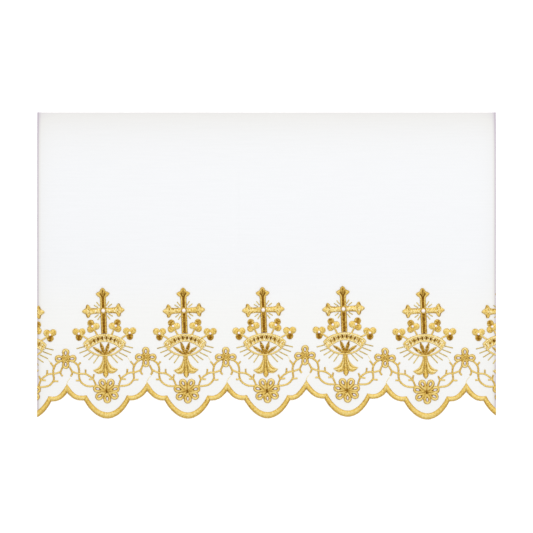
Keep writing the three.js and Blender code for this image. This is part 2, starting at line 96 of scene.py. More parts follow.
# Scalloped edge: each repeat's name, lowest point, lean in degrees, lift of its cross and arch, and drops of
# its rosette and right outer trefoil
Lobe = namedtuple("Lobe", "name x y lean lift rosette_drop trefoil_drop")
LOBES = [
    Lobe("left", -216.8, -140.1, 3.0, -1.2, 0.0, 0.0),
    Lobe("1", -145.2, -139.2, 2.2, 0.1, 0.0, 0.2),
    Lobe("2", -71.7, -139.3, 2.2, 0.4, 0.0, 0.9),
    Lobe("3", 1.1, -139.0, 2.4, 0.7, 0.0, 0.5),
    Lobe("4", 74.1, -137.6, 2.3, 0.1, 1.0, 1.7),
    Lobe("5", 146.8, -140.1, 2.2, 0.9, 0.0, 0.7),
    Lobe("right", 219.4, -139.8, 2.2, 0.4, 0.0, 0.0),
]
CUSPS = [
    # x, y
    (-182.0, -111.9),
    (-108.9, -110.2),
    (-35.9, -110.2),
    (36.4, -108.4),
    (109.5, -111.1),
    (182.3, -110.8),
]
# How far a link's chart starts under its cusp, a cusp's height over a scallop's tip, where its lift is full
LINK_BELOW_CUSP = 0.9
CUSP_OVER_LOBE = 28.0
LINK_REACH = 25.0
# Bezier points of a scallop's half and of the small arcs at a cusp, and the edging's width
LOBE_TIP_Y, LOBE_TIP_PULL = 2.7, 8.7
LOBE_SIDE, LOBE_END, LOBE_SKEW = (16.2, 11.7), (19.5, 18.8), 0.03
SMALL_CUSP, SMALL_END = (4.7, 6.9), (7.8, 1.4)
TIP_WIDTH, SIDE_WIDTH, CUSP_WIDTH = 6.0, 4.4, 4.9
# The edging's start over the surface under the cloth, and its length past the sides before they are cut
EDGING_BASE, EDGING_PAST_SIDE = 0.05, 8.0
# Mitre where two arcs meet: how near to the corner it cuts, and the least slope that it slides points by
MITRE_REACH, MITRE_SLOPE = 9.0, 0.2

# Budded cross: half outlines of an arm, of the head and of the bar under it
CROSS_Y = 98.1
ARM = [
    # out, half
    (2.2, 2.5),
    (7.8, 2.5),
    (10.0, 2.7),
    (11.6, 3.2),
    (12.6, 4.2),
    (13.3, 5.4),
    (14.3, 6.2),
    (15.4, 5.4),
    (15.8, 3.8),
    (16.6, 2.5),
    (17.9, 1.7),
    (19.3, 0.6),
]
HEAD = [
    # out, half
    (2.2, 2.7),
    (10.4, 2.7),
    (12.8, 3.3),
    (14.4, 4.9),
    (15.9, 5.9),
    (17.1, 4.4),
    (17.8, 2.7),
    (19.4, 2.0),
    (20.7, 0.7),
]
BAR = [
    # out, half
    (2.2, 2.7),
    (11.0, 2.7),
    (20.8, 2.7),
]

# Buds of an arm and of the head, and the dark seams between them. One that starts to the limb's left has
# a mirror image
ARM_BUDS = [
    # start out, start side, end out, end side, half widths along it
    (12.2, 2.4, 14.4, 5.7, (0.5, 0.9, 1.1, 1.0, 0.5)),
    (13.8, 0.0, 19.2, 0.0, (0.6, 1.3, 1.7, 1.4, 0.5)),
]
ARM_SEAMS = [
    (12.4, 0.5, 13.8, 2.4, (0.15, 0.3, 0.15)),
    (15.5, 2.5, 15.1, 5.0, (0.15, 0.3, 0.15)),
    (5.6, -1.9, 11.6, -1.9, (0.1, 0.2, 0.2, 0.1)),
    (17.9, 0.0, 18.9, 0.0, (0.2, 0.35, 0.2)),
]
HEAD_BUDS = [
    (13.0, 1.6, 16.0, 6.0, (0.7, 1.2, 1.4, 1.1, 0.4)),
    (13.4, 0.0, 20.8, 0.0, (0.7, 1.5, 2.1, 1.9, 0.6)),
]
HEAD_SEAMS = [
    (13.0, 1.0, 15.7, 2.8, (0.15, 0.3, 0.32, 0.15)),
    (14.0, 0.0, 19.2, 0.0, (0.25, 0.42, 0.36, 0.6, 0.35)),
]
# Half width of the groove down the head and the bar as a share of theirs, and radii of the pearl's ring
POST_GROOVE = 0.31
CROSS_RING = (2.75, 1.5)

# Arch over the eye-shaped opening, from the middle outwards, and what grows from it
ARCH_OUTER = [(0, 76.9), (7.9, 75.7), (14.4, 73.1), (19.3, 69.0), (18.7, 66.4)]
ARCH_INNER = [(0, 69.8), (4.8, 68.9), (9.8, 66.6), (14.8, 63.3), (16.9, 64.5)]
# The height that it is turned about, its turn in degrees, its dots' pitch and how fast they fade
ARCH_TURN_Y, ARCH_TURN = 70.0, -1.0
ARCH_PITCH, ARCH_FADE = 3.87, 0.065
ARCH_DOT = [
    # share of the way in, shift along in pitches, half width, stretch, tone
    (0.51, 0.0, 1.1, 1.35, 0.12),
    (0.78, 0.5, 0.8, 0.9, 1.0),
    (0.20, 0.0, 0.65, 0.9, 1.0),
    (0.30, 0.5, 0.60, 0.9, 0.86),
    (0.50, 0.5, 0.50, 1.1, 0.24),
]
ARCH_NET = [
    (0.34, 0.0, 0.85, 1.0, 1.0),
    (0.70, 0.5, 0.85, 1.0, 1.0),
    (0.70, -0.5, 0.85, 1.0, 1.0),
    (0.40, 0.5, 0.75, 1.2, 0.28),
    (0.72, 0.0, 0.80, 1.2, 0.26),
]
ARCH_DOT_HEIGHT = 0.95
LINE_WIDTH = 1.4
LOWER_LINE = [(0.3, 57.2), (7.0, 58.1), (11.5, 60.1), (16.2, 63.8)]
LEAF_ROOT = (0.3, 57.2)
LEAVES = [
    # tip x, tip y, width
    (-10.8, 65.2, 3.1),
    (-3.9, 69.2, 3.5),
    (4.0, 68.9, 3.5),
    (11.0, 64.7, 3.1),
]
TREFOILS = [
    # x, y, stem x, stem y, lobe angles, which lobe is dark, the dark lobe's core. The dark lobe is painted
    # shade
    (23.2, 77.6, 15.4, 72.6, (33, 150, 270), 2, 0.02),
    (10.6, 84.1, 6.4, 75.6, (62, 182, 305), 0, 0.24),
]
# A trefoil's lobes: their distance out from its centre, and their radius
TREFOIL_OUT, TREFOIL_RADIUS = 3.3, 3.15

# Foot under the arch, right half: the side lobe's outer and inner edges from the neck to its tip, and the
# half outline of the drop between the two lobes
FOOT_OUTER = [(2.0, 57.2), (2.2, 54.6), (3.0, 51.8), (5.0, 48.3), (7.2, 46.2), (9.2, 45.2), (11.2, 44.3)]
FOOT_INNER = [(0.5, 57.2), (0.7, 52.0), (1.3, 46.4), (2.1, 42.2), (4.2, 41.0), (7.6, 41.1), (11.2, 44.1)]
FOOT_DROP = [
    # y, half width
    (57.1, 1.1),
    (53.0, 1.0),
    (49.5, 0.9),
    (46.0, 1.2),
    (43.0, 1.9),
    (41.0, 2.5),
    (39.2, 2.1),
    (38.0, 1.2),
    (37.2, 0.4),
]
# Half width, top and bottom of the dark gap between the drop and a side lobe, and where the neck stretches
FOOT_GAP = (0.4, 56.4, 42.4)
NECK = (46, 56)

# Flowers: centre, petal radius, boss radius, and each petal's angle and reach
ROSETTE = (0.3, 24.6, 3.55, 2.0)
ROSETTE_PETALS = [(115, 12.4), (63, 12.3), (13, 12.1), (-32, 11.9), (-88, 11.0), (-148, 12.0), (163, 12.7)]
FLOWER = (-1.3, 27.6, 3.4, 1.8)
FLOWER_PETALS = [(90, 9.4), (180, 9.9), (-90, 9.0), (0, 9.8)]
# Where a petal's sides meet, its eyelet's radii and place behind the round end's centre, and how far the
# flower's ground stops short of that centre
PETAL_ROOT = 0.7
EYELET, EYE_BACK = (2.1, 1.0), 0.8
GROUND_INSET = 1.2
# Dark spot at each petal's inner end: its distance in from the eyelet's centre and its radius
THROAT_IN, THROAT_RADIUS = 1.45, 0.6
# The boss's core: its rise up the cloth, share of the boss's radius, and stretch
CORE_UP, CORE_SHARE, CORE_STRETCH = 0.2, 0.6, 1.5

# Painted sheen: how much lighter a thread is painted that runs up the cloth than one across it. Painted
# shade: how much darker a groove between threads is painted
SHEEN = 0.2
GROOVE_PAINTED_SHADE = 0.1
# Brown, middle and pale of a single stitch, which the white cloth shows through
SINGLE_STITCH_COLOURS = ("#a98e3a", "#d7bf64", "#eee3a4")
# A run's start under the face, its least width, how ragged its ends are and how much its height varies
RUN_SUNK, LEAST_WIDTH = 0.04, 0.3
RAGGED_MOST, RAGGED_SHARE = 0.09, 0.12
HEIGHT_VARIES = 0.03
# Seeds of the random draws. A repeat's or a link's number is added to its kind's
SEEDS = {"edging": 11, "cross": 100, "arch": 200, "foot": 300, "rosette": 400, "link": 500}
RAY_SEED, JUMP_SEED = 600, 700

# Runs of stitches: height, tones from deep (0) to pale (1) at the first rail, in the middle and at the second
# rail, and how much they vary. A middle paler than the rails is a painted highlight on the run's crown, with
# painted shade down its sides. Of the two beside the post's groove, the one at the limb's right comes first
EDGING_RUN = (1.9, (0.37, 0.66, 0.46), 0.05)
ARM_RUN = (0.85, (0.42, 0.68, 0.42), 0.22)
ARM_BUD_RUN = (0.95, (0.46, 0.64, 0.46), 0.08)
ARM_SEAM_RUN = (1.08, (0.2, 0.26, 0.2), 0.08)
HEAD_BUD_RUN = (1.0, (0.44, 0.58, 0.44), 0.08)
HEAD_SEAM_RUN = (1.25, (0.06, 0.1, 0.06), 0.08)
RING_RUN = (1.35, (0.36, 0.52, 0.36), 0.05)
GROOVE_RUN = (0.6, (0.24, 0.12, 0.24), 0.16)
HEAD_SIDE_RUNS = (1.0, (0.54, 0.70, 0.58), 0.1), (1.0, (0.60, 0.72, 0.56), 0.1)
BAR_SIDE_RUNS = (1.0, (0.44, 0.60, 0.48), 0.1), (1.0, (0.46, 0.58, 0.42), 0.1)
LOWER_LINE_RUN = (0.85, (0.5, 0.72, 0.5), 0.05)
LEAF_RUN = (0.85, (0.68, 0.16, 0.60), 0.2)
STEM_RUN = (0.75, (0.5, 0.68, 0.5), 0.05)
TREFOIL_RUN = (0.85, (0.64, 0.52, 0.56), 0.13)
DROP_RUN = (0.95, (0.44, 0.68, 0.40), 0.1)
FOOT_GAP_RUN = (0.4, (0.20, 0.16, 0.12), 0.1)
PETAL_RUN = (0.95, (0.38, 0.84, 0.38), 0.07)
# What a petal's tones lose towards the flower's centre
PETAL_DARKER = (0.0, 0.1, 0.06)
GROUND_RUN = (0.45, (0.54, 0.58, 0.54), 0.15)
THROAT_RUN = (0.62, (0.0, 0.05, 0.0), 0.05)
BOSS_RUN = (0.8, (0.36, 0.52, 0.36), 0.16)
ROSETTE_CORE_RUN = (1.05, (0.24, 0.16, 0.24), 0.1)
FLOWER_CORE_RUN = (1.05, (0.50, 0.54, 0.50), 0.1)
VINE_RUN = (0.6, (0.48, 0.66, 0.48), 0.08)
RAY_RUN = (0.5, (0.44, 0.54, 0.50), 0.08)
JUMP_RUN = (0.3, (0.95, 1.0, 0.95), 0.05)
ARCH_RUNS = [
    # from and to as shares of the way in, run, points across
    (0.0, 1.0, (0.5, (0.48, 0.66, 0.50), 0.3), 9),
    (0.0, 0.27, (0.9, (0.50, 0.76, 0.60), 0.18), 7),
    (0.82, 1.0, (0.9, (0.56, 0.76, 0.52), 0.16), 7),
]
FOOT_RUNS = [
    (0.26, 0.82, (0.9, (0.46, 0.74, 0.40), 0.12), 9),
    (0.82, 1.0, (0.7, (0.36, 0.60, 0.44), 0.1), 7),
    (0.0, 0.26, (0.75, (0.54, 0.66, 0.34), 0.1), 7),
]

# Beads: half height of a pearl and of a seed bead, a stone's radii, and each one's lowest point over the face
PEARL_HALF, PEARL_RISE = 1.1, 0.08
BEAD_HALF, BEAD_RISE = 0.75, 0.45
STONE_RADII, STONE_RISE = (1.5, 0.85, 0.42), -0.02

# Vines of a link in the frame of its cusp: width and the points that each passes through
VINES = [
    (1.5, [(-5.6, 25.6), (-9.8, 23.0), (-12.4, 18.3), (-12.6, 13.4), (-12.0, 9.2), (-13.5, 5.8),
           (-17.8, 2.3), (-26.4, 1.2)]),
    (1.4, [(-3.9, 20.6), (-5.9, 15.7), (-5.5, 13.4), (-4.1, 11.9)]),
    (1.4, [(-5.9, 15.7), (-11.4, 13.9), (-15.6, 13.6), (-18.6, 12.4), (-23.3, 8.7),
           (-25.6, 3.4), (-25.8, 1.6)]),
    (1.3, [(-18.6, 12.6), (-18.0, 17.0)]),
    (1.3, [(-24.3, 8.0), (-25.7, 11.6)]),
    (1.3, [(-24.0, 7.8), (-19.4, 7.6)]),
    (1.3, [(-12.8, 7.1), (-8.1, 7.1)]),
    (1.3, [(-15.3, 23.9), (-13.5, 21.8), (-12.2, 19.6)]),
    (1.5, [(4.4, 25.6), (9.0, 22.3), (10.9, 17.6), (10.9, 11.1), (12.3, 6.4), (15.6, 3.2), (19.8, 1.5),
           (26.0, 1.4)]),
    (1.4, [(2.1, 20.4), (4.3, 16.2), (4.6, 13.9), (3.3, 11.6)]),
    (1.4, [(4.6, 16.1), (8.3, 14.2), (12.0, 13.4), (16.8, 12.9), (19.8, 11.2), (23.2, 8.5), (25.8, 3.6),
           (26.6, 1.0)]),
    (1.2, [(17.0, 13.3), (16.8, 17.0)]),
    (1.3, [(23.6, 8.2), (24.6, 12.1)]),
    (1.3, [(23.6, 7.7), (19.9, 7.7)]),
    (1.3, [(11.6, 7.4), (8.1, 7.4)]),
    (1.3, [(10.0, 21.1), (12.3, 23.8)]),
]
# Jump threads: up from a cusp, and below an arch's right end
JUMP_THREAD = [(-0.2, -1.0), (-0.5, 3.0), (0.6, 6.4), (2.9, 9.4)]
RAY_JUMP = [(20.2, 55.4), (21.4, 53.4), (22.7, 50.9)]

# Single long stitches: about the cross by angle, and below the arch from start to end
CROSS_RAY_ANGLES = (36, 57)
CROSS_RAY_SPAN = (5.6, 9.9)
ARCH_RAYS = [
    # start x, start y, end x, end y
    (-18.0, 66.2, -25.8, 64.4),
    (-15.6, 63.0, -23.0, 60.4),
    (-12.3, 60.8, -19.7, 56.7),
    (-9.0, 59.6, -15.3, 53.7),
    (-5.4, 57.6, -10.8, 50.4),
    (18.2, 65.3, 25.8, 63.1),
    (16.2, 62.1, 23.7, 58.8),
    (13.0, 59.4, 20.3, 55.4),
    (9.4, 57.4, 16.0, 52.3),
    (5.2, 57.2, 11.3, 49.9),
]
RAY_HALF, JUMP_HALF = 0.42, 0.22

# Creases pressed into the cloth: place, half width, ends and depth, with their lean and softness
CREASE_LEAN, CREASE_SOFTNESS = 0.004, 0.55
CREASES = [
    # x, half width, top, bottom, depth
    (-28.2, 2.4, 102, -52, 0.30),
    (-160.0, 4.0, 12, -30, 0.15),
    (-93.0, 4.0, 30, -34, 0.18),
    (-76.0, 3.0, 22, -30, 0.15),
    (-52.0, 4.0, 26, -34, 0.18),
    (-12.0, 4.0, 34, -20, 0.20),
    (14.0, 4.0, 28, -34, 0.18),
    (62.0, 4.0, 20, -26, 0.15),
    (142.0, 4.0, 10, -24, 0.15),
]

# Stage: the camera's sensor in millimetres, its place over the cloth and the soft light's size and place in
# metres, and the floor's half width and height in millimetres
SENSOR = 36.0
CAMERA_X, CAMERA_Y = -0.00005, -0.00073
SOFT_BOX, SOFT_BOX_PLACE = (1.6, 1.0), (0.1, 0.75, 1.7)
FLOOR_HALF, FLOOR_Z = 3000.0, -0.1


def length(name, description, default, low=0.0):
    """A length in metres that a user may change."""
    return FloatProperty(
        name=name, description=description, default=default, min=low, unit="LENGTH", precision=5
    )


def srgb(name, description, default):
    """An sRGB colour that a user may change."""
    words = f"{description}, as an sRGB value"
    return FloatVectorProperty(
        name=name, description=words, default=default, min=0.0, max=1.0, size=3, subtype="COLOR_GAMMA"
    )


class SheetSettings(bpy.types.PropertyGroup):
    colour: srgb("Cloth colour", "Colour of the woven polyester", (0.911, 0.915, 0.922))
    weave: length("Thread spacing", "Distance between the cloth's threads", 0.0005, low=0.0001)
    pucker: length("Pucker height", "Height of the shallow puckers round the needlework", 0.00009)
    slope: length("Top slope", "How far the cloth thins down to its top edge", 0.0006)


class ThreadSettings(bpy.types.PropertyGroup):
    pitch: length("Stitch spacing", "Distance between neighbouring satin stitches", 0.00045, low=0.0002)
    ridge: length("Thread relief", "How deep the groove between two threads is", 0.00009)
    # Colours of the tone ramp, deep to pale. The lowest tones carry painted shade in grooves and down the
    # runs' sides, the highest painted highlight on the runs' crowns
    deep: srgb("Deep gold", "Colour of the thread in grooves", (0.43, 0.27, 0.06))
    brown: srgb("Brown gold", "Colour of the darker runs of thread", (0.63, 0.46, 0.12))
    middle: srgb("Gold", "Colour of the thread's body", (0.87, 0.745, 0.39))
    pale: srgb("Pale gold", "Colour of the thread on its brightest crests", (0.94, 0.88, 0.63))


class BeadSettings(bpy.types.PropertyGroup):
    pearl_radius: length("Pearl radius", "Radius of the pearl at each cross's centre", 0.0018, low=0.0005)
    bead_radius: length("Bead radius", "Radius of the small bead in each trefoil", 0.00115, low=0.0003)


class StageSettings(bpy.types.PropertyGroup):
    lens: FloatProperty(
        name="Focal length",
        description="Focal length of the camera over the cloth, in millimetres",
        default=135.0,
        min=20.0,
    )
    view_width: length("View width", "Width that the picture takes in at the cloth", 0.4864, low=0.1)
    key: FloatProperty(
        name="Key light",
        description="Power of the large soft light overhead",
        unit="POWER",
        default=18.0,
        min=0.0,
    )
    fill: FloatProperty(
        name="Fill light", description="Strength of the light from all round", default=0.74, min=0.0
    )


def at_points(rows):
    """The rows as an array of points."""
    return np.array(rows, float)


def turn(points, degrees, about=(0.0, 0.0)):
    """The points turned about a centre: each one's offset times the turn's cosine and sine."""
    angle = np.radians(degrees)
    spin = np.array([[np.cos(angle), np.sin(angle)], [-np.sin(angle), np.cos(angle)]])
    return (at_points(points) - about) @ spin + about


def heading(angles):
    """Unit vectors that point along the angles, given in radians: their cosines and sines."""
    return np.stack([np.cos(angles), np.sin(angles)], axis=-1)


def reach_along(line):
    """Distance along a line of points, from its first."""
    return np.concatenate([[0.0], np.cumsum(np.linalg.norm(np.diff(line, axis=0), axis=1))])


def at_reach(line, reach, at):
    """Points of a line at the given distances along it, straight between its own."""
    return np.stack([np.interp(at, reach, line[:, k]) for k in range(line.shape[1])], axis=1)


def spaced(line, count):
    """A line's points spread evenly along it."""
    reach = reach_along(line)
    return at_reach(line, reach, np.linspace(0.0, reach[-1], count))


def smooth(points, count=40):
    """A Catmull-Rom curve through the points: each part blends the two points before it and the two after."""
    p = at_points(points)
    last = len(p) - 1
    if last < 2:
        return spaced(p, count)
    t = np.linspace(0.0, last, 12 * last + 1)
    i = np.minimum(t.astype(int), last - 1)
    w = (t - i)[:, None]
    before, here, ahead, beyond = p[np.maximum(i - 1, 0)], p[i], p[i + 1], p[np.minimum(i + 2, last)]
    out, home = (ahead - before) / 2, (beyond - here) / 2
    curve = (
        (2 * here - 2 * ahead + out + home) * w**3
        + (-3 * here + 3 * ahead - 2 * out - home) * w**2
        + out * w
        + here
    )
    return spaced(curve, count)


def directions(line):
    """Unit direction of a line at each of its points."""
    along = np.gradient(line, axis=0)
    return along / np.maximum(np.linalg.norm(along, axis=1, keepdims=True), 1e-9)


def side_of(line, offset):
    """The line set off to its left by the offset, square to its direction."""
    along = directions(line)
    left = np.stack([-along[:, 1], along[:, 0]], axis=1)
    return line + left * np.asarray(offset).reshape(-1, 1)


def between(line_a, line_b, share):
    """The line that lies a share of the way from one line to the other."""
    return line_a + (line_b - line_a) * share


def mirrored(half):
    """A symmetric line from left to right, from its right half given from the middle outwards."""
    half = at_points(half)
    return np.concatenate([half[::-1] * (-1, 1), half[1:]])


def in_lobe(lobe):
    """The placing of a repeat: its charted points turned by its lean, and set down at its lowest point."""
    return lambda points: turn(points, lobe.lean) + (lobe.x, lobe.y)


def lifted(lobe):
    """The placing of a repeat's cross and arch, which sit a little high or low in it."""
    place = in_lobe(lobe)
    return lambda points: place(points) + (0.0, lobe.lift)


def arch_place(lobe):
    """The placing of a repeat's arch, which is turned back about its middle."""
    place = lifted(lobe)
    return lambda points: place(turn(points, ARCH_TURN, (0, ARCH_TURN_Y)))


def neck_lifted(lobe):
    """The placing of a repeat's foot, whose neck is drawn up or down to meet the arch."""
    place = in_lobe(lobe)
    return lambda points: place(points) + np.outer(np.interp(points[:, 1], NECK, [0, lobe.lift]), (0, 1))


def in_link(cusp, left, right):
    """The placing of a link, its ends rising or falling with the scallop on their side."""

    def place(points):
        p = at_points(points)
        low = np.where(p[:, 0] < 0, left.y, right.y)
        y = cusp[1] - LINK_BELOW_CUSP
        rise = (low - y + CUSP_OVER_LOBE) * np.minimum(1.0, np.abs(p[:, 0]) / LINK_REACH)
        return np.stack([cusp[0] + p[:, 0], y + p[:, 1] + rise], axis=1)

    return place


def limb(x, y):
    """The chart of a cross's limb that points to (x, y), from distances out along it and to its left."""
    return lambda out, side: np.stack([x * out - y * side, CROSS_Y + y * out + x * side], axis=-1)


def trefoils(lobe):
    """Each trefoil of a repeat, the left ones first: its side, its centre and its row."""
    for sign in (-1, 1):
        for k, row in enumerate(TREFOILS):
            drop = lobe.trefoil_drop if sign > 0 and k == 0 else 0.0
            yield sign, np.array([sign * row[0], row[1] - drop]), row


def grid_faces(rows, columns, wrap_rows=False, wrap_columns=False):
    """Quads of a grid of points, row by row, closed round on itself where it wraps."""
    i = np.arange(rows if wrap_rows else rows - 1)
    j = np.arange(columns if wrap_columns else columns - 1)
    i, j = np.meshgrid(i, j, indexing="ij")
    here, up = i * columns, (i + 1) % rows * columns
    beside = (j + 1) % columns
    return np.stack([here + j, up + j, up + beside, here + beside], axis=-1).reshape(-1, 4)


def new_mesh(name, points, faces):
    """A mesh object at the origin, from points in millimetres."""
    mesh = bpy.data.meshes.new(name)
    mesh.from_pydata((np.asarray(points) * MM).tolist(), [], faces)
    mesh.validate()
    mesh.polygons.foreach_set("use_smooth", np.ones(len(mesh.polygons), bool))
    piece = bpy.data.objects.new(name, mesh)
    bpy.context.scene.collection.objects.link(piece)
    return piece


def store(mesh, name, values):
    """A number for each point, kept on the mesh under the name."""
    mesh.attributes.new(name, "FLOAT", "POINT").data.foreach_set("value", np.asarray(values, np.float32))


def trim_to_sides(piece):
    """Cuts a piece straight off at the cloth's two sides and closes the cut."""
    places = np.empty(3 * len(piece.data.vertices))
    piece.data.vertices.foreach_get("co", places)
    for sign in (-1, 1):
        if (sign * places[::3]).max() <= SIDE * MM:
            continue
        work = bmesh.new()
        work.from_mesh(piece.data)
        cut = bmesh.ops.bisect_plane(
            work,
            geom=work.verts[:] + work.edges[:] + work.faces[:],
            plane_co=(sign * SIDE * MM, 0, 0),
            plane_no=(sign, 0, 0),
            clear_outer=True,
        )
        edges = [part for part in cut["geom_cut"] if isinstance(part, bmesh.types.BMEdge)]
        bmesh.ops.holes_fill(work, edges=edges, sides=0)
        work.to_mesh(piece.data)
        work.free()


def nodes_of(kind, name):
    """Names of the frame's nodes for one kind of motif in one repeat, whole or in islands."""
    start = f"{kind}_{name}"
    return sorted(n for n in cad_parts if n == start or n.startswith(start + "_"))


def sew_on(piece, material, nodes=()):
    """Gives a piece its material, and lets it ride on the cloth and stand for the given nodes."""
    piece.data.materials.append(material)
    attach(piece, "root")
    if nodes:
        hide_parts(*nodes)


def linear(hex_colour):
    """Linear red, green and blue of an sRGB hex value."""
    s = np.array([int(hex_colour[i : i + 2], 16) for i in (1, 3, 5)]) / 255
    return tuple(np.where(s <= 0.04045, s / 12.92, ((s + 0.055) / 1.055) ** 2.4)) + (1.0,)


def as_hex(colour):
    """The hex value of an sRGB colour with parts from 0 to 1."""
    return "#" + "".join(f"{round(255 * part):02x}" for part in colour)


def add_node(tree, kind, settings=(), links=()):
    """A node with its settings and links.

    A setting goes by the name of a property or a socket, and `stops` are a colour ramp's places and colours.
    A link comes from a socket, or from a node's first output.
    """
    node = tree.nodes.new("ShaderNode" + kind)
    for name, value in dict(settings).items():
        if name == "stops":
            ends = node.color_ramp.elements
            for end, (position, colour) in zip(ends, (value[0], value[-1])):
                end.position, end.color = position, colour
            for position, colour in value[1:-1]:
                ends.new(position).color = colour
        elif isinstance(name, str) and hasattr(node, name):
            setattr(node, name, value)
        else:
            node.inputs[name].default_value = value
    for name, source in dict(links).items():
        tree.links.new(getattr(source, "outputs", [source])[0], node.inputs[name])
    return node


def finish_named(name, shade):
    """The material of that name, made at its first use: `shade` adds its nodes and gives the last one."""
    material = bpy.data.materials.get(name)
    if not material:
        material = bpy.data.materials.new(name)
        material.use_nodes = True
        material.node_tree.nodes.clear()
        add_node(material.node_tree, "OutputMaterial", {}, {"Surface": shade(material.node_tree)})
    return material


def gold_rayon_thread(single=False):
    """Rayon embroidery thread, spun and dyed gold. A single stitch lets the white cloth show through it."""

    # Rayon is a bright, silky fibre with a soft gloss on each thread's crest. Its tone carries painted shade
    # in the grooves between threads and down the runs' sides, painted highlight on the runs' crowns, and a
    # painted sheen by thread direction
    def shade(tree):
        threads = bpy.context.scene.altar_cloth_threads
        body = SINGLE_STITCH_COLOURS if single else map(as_hex, (threads.brown, threads.middle, threads.pale))
        colours = (as_hex(threads.deep), *body, "#f4efdf")
        tone = add_node(tree, "Attribute", {"attribute_name": "tone"})
        ground = add_node(tree, "TexCoord").outputs["Object"]
        # Dye and tension vary over a millimetre or two along a run
        cloudy = {"Scale": 620.0, "Detail": 2.0, "Roughness": 0.6}
        mottle = add_node(tree, "TexNoise", cloudy, {"Vector": ground})
        centred = add_node(tree, "Math", {"operation": "MULTIPLY_ADD", 1: 0.5, 2: -0.25}, {0: mottle})
        mixed = add_node(
            tree, "Math", {"operation": "ADD", "use_clamp": True}, {0: tone.outputs["Fac"], 1: centred}
        )
        stops = list(zip((0.0, 0.22, 0.55, 0.88, 1.0), map(linear, colours)))
        ramp = add_node(tree, "ValToRGB", {"stops": stops}, {"Fac": mixed})
        # Twist of the plies: slanting lines about 0.3 mm apart on the thread's own map, in millimetres
        place = add_node(tree, "UVMap", {"uv_map": "Thread"})
        slanted = {"Rotation": (0, 0, 0.6), "Scale": (3.0, 3.0, 3.0)}
        slant = add_node(tree, "Mapping", slanted, {"Vector": place})
        twist = add_node(tree, "TexWave", {"Scale": 0.32, "Distortion": 0.6}, {"Vector": slant})
        relief = {"Strength": 0.25, "Distance": 0.00005}
        bump = add_node(tree, "Bump", relief, {"Height": twist.outputs["Fac"]})
        silk = {"Roughness": 0.55, "Metallic": 0.5, "Specular IOR Level": 0.3}
        silk["Specular Tint"] = linear("#ecc36a")
        return add_node(tree, "BsdfPrincipled", silk, {"Base Color": ramp, "Normal": bump})

    return finish_named("gold_rayon_single_stitch" if single else "gold_rayon_thread", shade)


def woven_white_polyester():
    """Closely woven white polyester."""

    # Plain weave in spun yarn: matte, almost white with a cool cast, its threads only just showing
    def shade(tree):
        sheet = bpy.context.scene.altar_cloth_sheet
        ground = add_node(tree, "TexCoord").outputs["Object"]
        # One wave for each thread of warp and weft: the texture's bands are 2 pi / 20 apart at a scale of 1.
        # They are drawn coarser than real threads, so that they show
        wave = {"Scale": 2 * np.pi / 20 / sheet.weave, "Distortion": 0.4, "Detail": 1.0}
        warp = add_node(tree, "TexWave", {"bands_direction": "X", **wave}, {"Vector": ground})
        weft = add_node(tree, "TexWave", {"bands_direction": "Y", **wave}, {"Vector": ground})
        threads = {0: warp.outputs["Fac"], 1: weft.outputs["Fac"]}
        weave = add_node(tree, "Math", {"operation": "MAXIMUM"}, threads)
        # Slubs: yarns that are thicker for a few centimetres show as faint streaks along the cloth's length
        stretch = add_node(tree, "Mapping", {"Scale": (30.0, 700.0, 1.0)}, {"Vector": ground})
        slubs = add_node(tree, "TexNoise", {"Scale": 1.0, "Detail": 2.0}, {"Vector": stretch})
        faint = {"From Min": 0.3, "From Max": 0.7, "To Min": 0.985, "To Max": 1.0}
        streak = add_node(tree, "MapRange", faint, {"Value": slubs})
        # Painted shade at the top edge (#dfdedc) and painted shadow at the cut sides (#b9afba), from the
        # sheet's edge attribute
        edge = add_node(tree, "Attribute", {"attribute_name": "edge"})
        colours = (as_hex(sheet.colour), "#dfdedc", "#b9afba")
        stops = list(zip((0.0, 0.35, 1.0), map(linear, colours)))
        ramp = add_node(tree, "ValToRGB", {"stops": stops}, {"Fac": edge.outputs["Fac"]})
        colour = add_node(tree, "VectorMath", {"operation": "SCALE"}, {0: ramp, "Scale": streak})
        # Painted warm light: a painted reflection of the gold on the cloth near the border
        warmth = add_node(tree, "Attribute", {"attribute_name": "warmth"})
        warmer = {"operation": "MULTIPLY_ADD", 1: WARM_TINT, 2: (1.0, 1.0, 1.0)}
        tint = add_node(tree, "VectorMath", warmer, {0: warmth.outputs["Fac"]})
        tinted = add_node(tree, "VectorMath", {"operation": "MULTIPLY"}, {0: colour, 1: tint})
        bump = add_node(tree, "Bump", {"Strength": 0.2, "Distance": 0.00006}, {"Height": weave})
        matte = {"Roughness": 0.85, "IOR": 1.5, "Specular IOR Level": 0.25, "Sheen Weight": 0.1}
        return add_node(tree, "BsdfPrincipled", matte, {"Base Color": tinted, "Normal": bump})

    return finish_named("woven_white_polyester", shade)


def clouded_gloss(name, hex_colour, roughness, coat, coat_roughness):
    """A coated, even finish with a faint cloudiness under the surface."""

    def shade(tree):
        ground = add_node(tree, "TexCoord").outputs["Object"]
        cloud = add_node(tree, "TexNoise", {"Scale": 900.0, "Detail": 1.0}, {"Vector": ground})
        base = linear(hex_colour)
        stops = [(0.3, tuple(0.93 * part for part in base[:3]) + (1.0,)), (0.7, base)]
        ramp = add_node(tree, "ValToRGB", {"stops": stops}, {"Fac": cloud})
        gloss = {"Roughness": roughness, "Coat Weight": coat, "Coat Roughness": coat_roughness}
        return add_node(tree, "BsdfPrincipled", gloss, {"Base Color": ramp})

    return finish_named(name, shade)


def pearl_lacquer():
    # Glass bead under pearl lacquer: smooth and bright, with a soft second gloss from the coat
    return clouded_gloss("pearl_lacquer", "#f3ecea", 0.25, 0.6, 0.1)


def acrylic_stone():
    # Clear acrylic stone over a pale foil back: greyish pink, glossy
    return clouded_gloss("acrylic_stone", "#e2d8d8", 0.12, 0.5, 0.05)


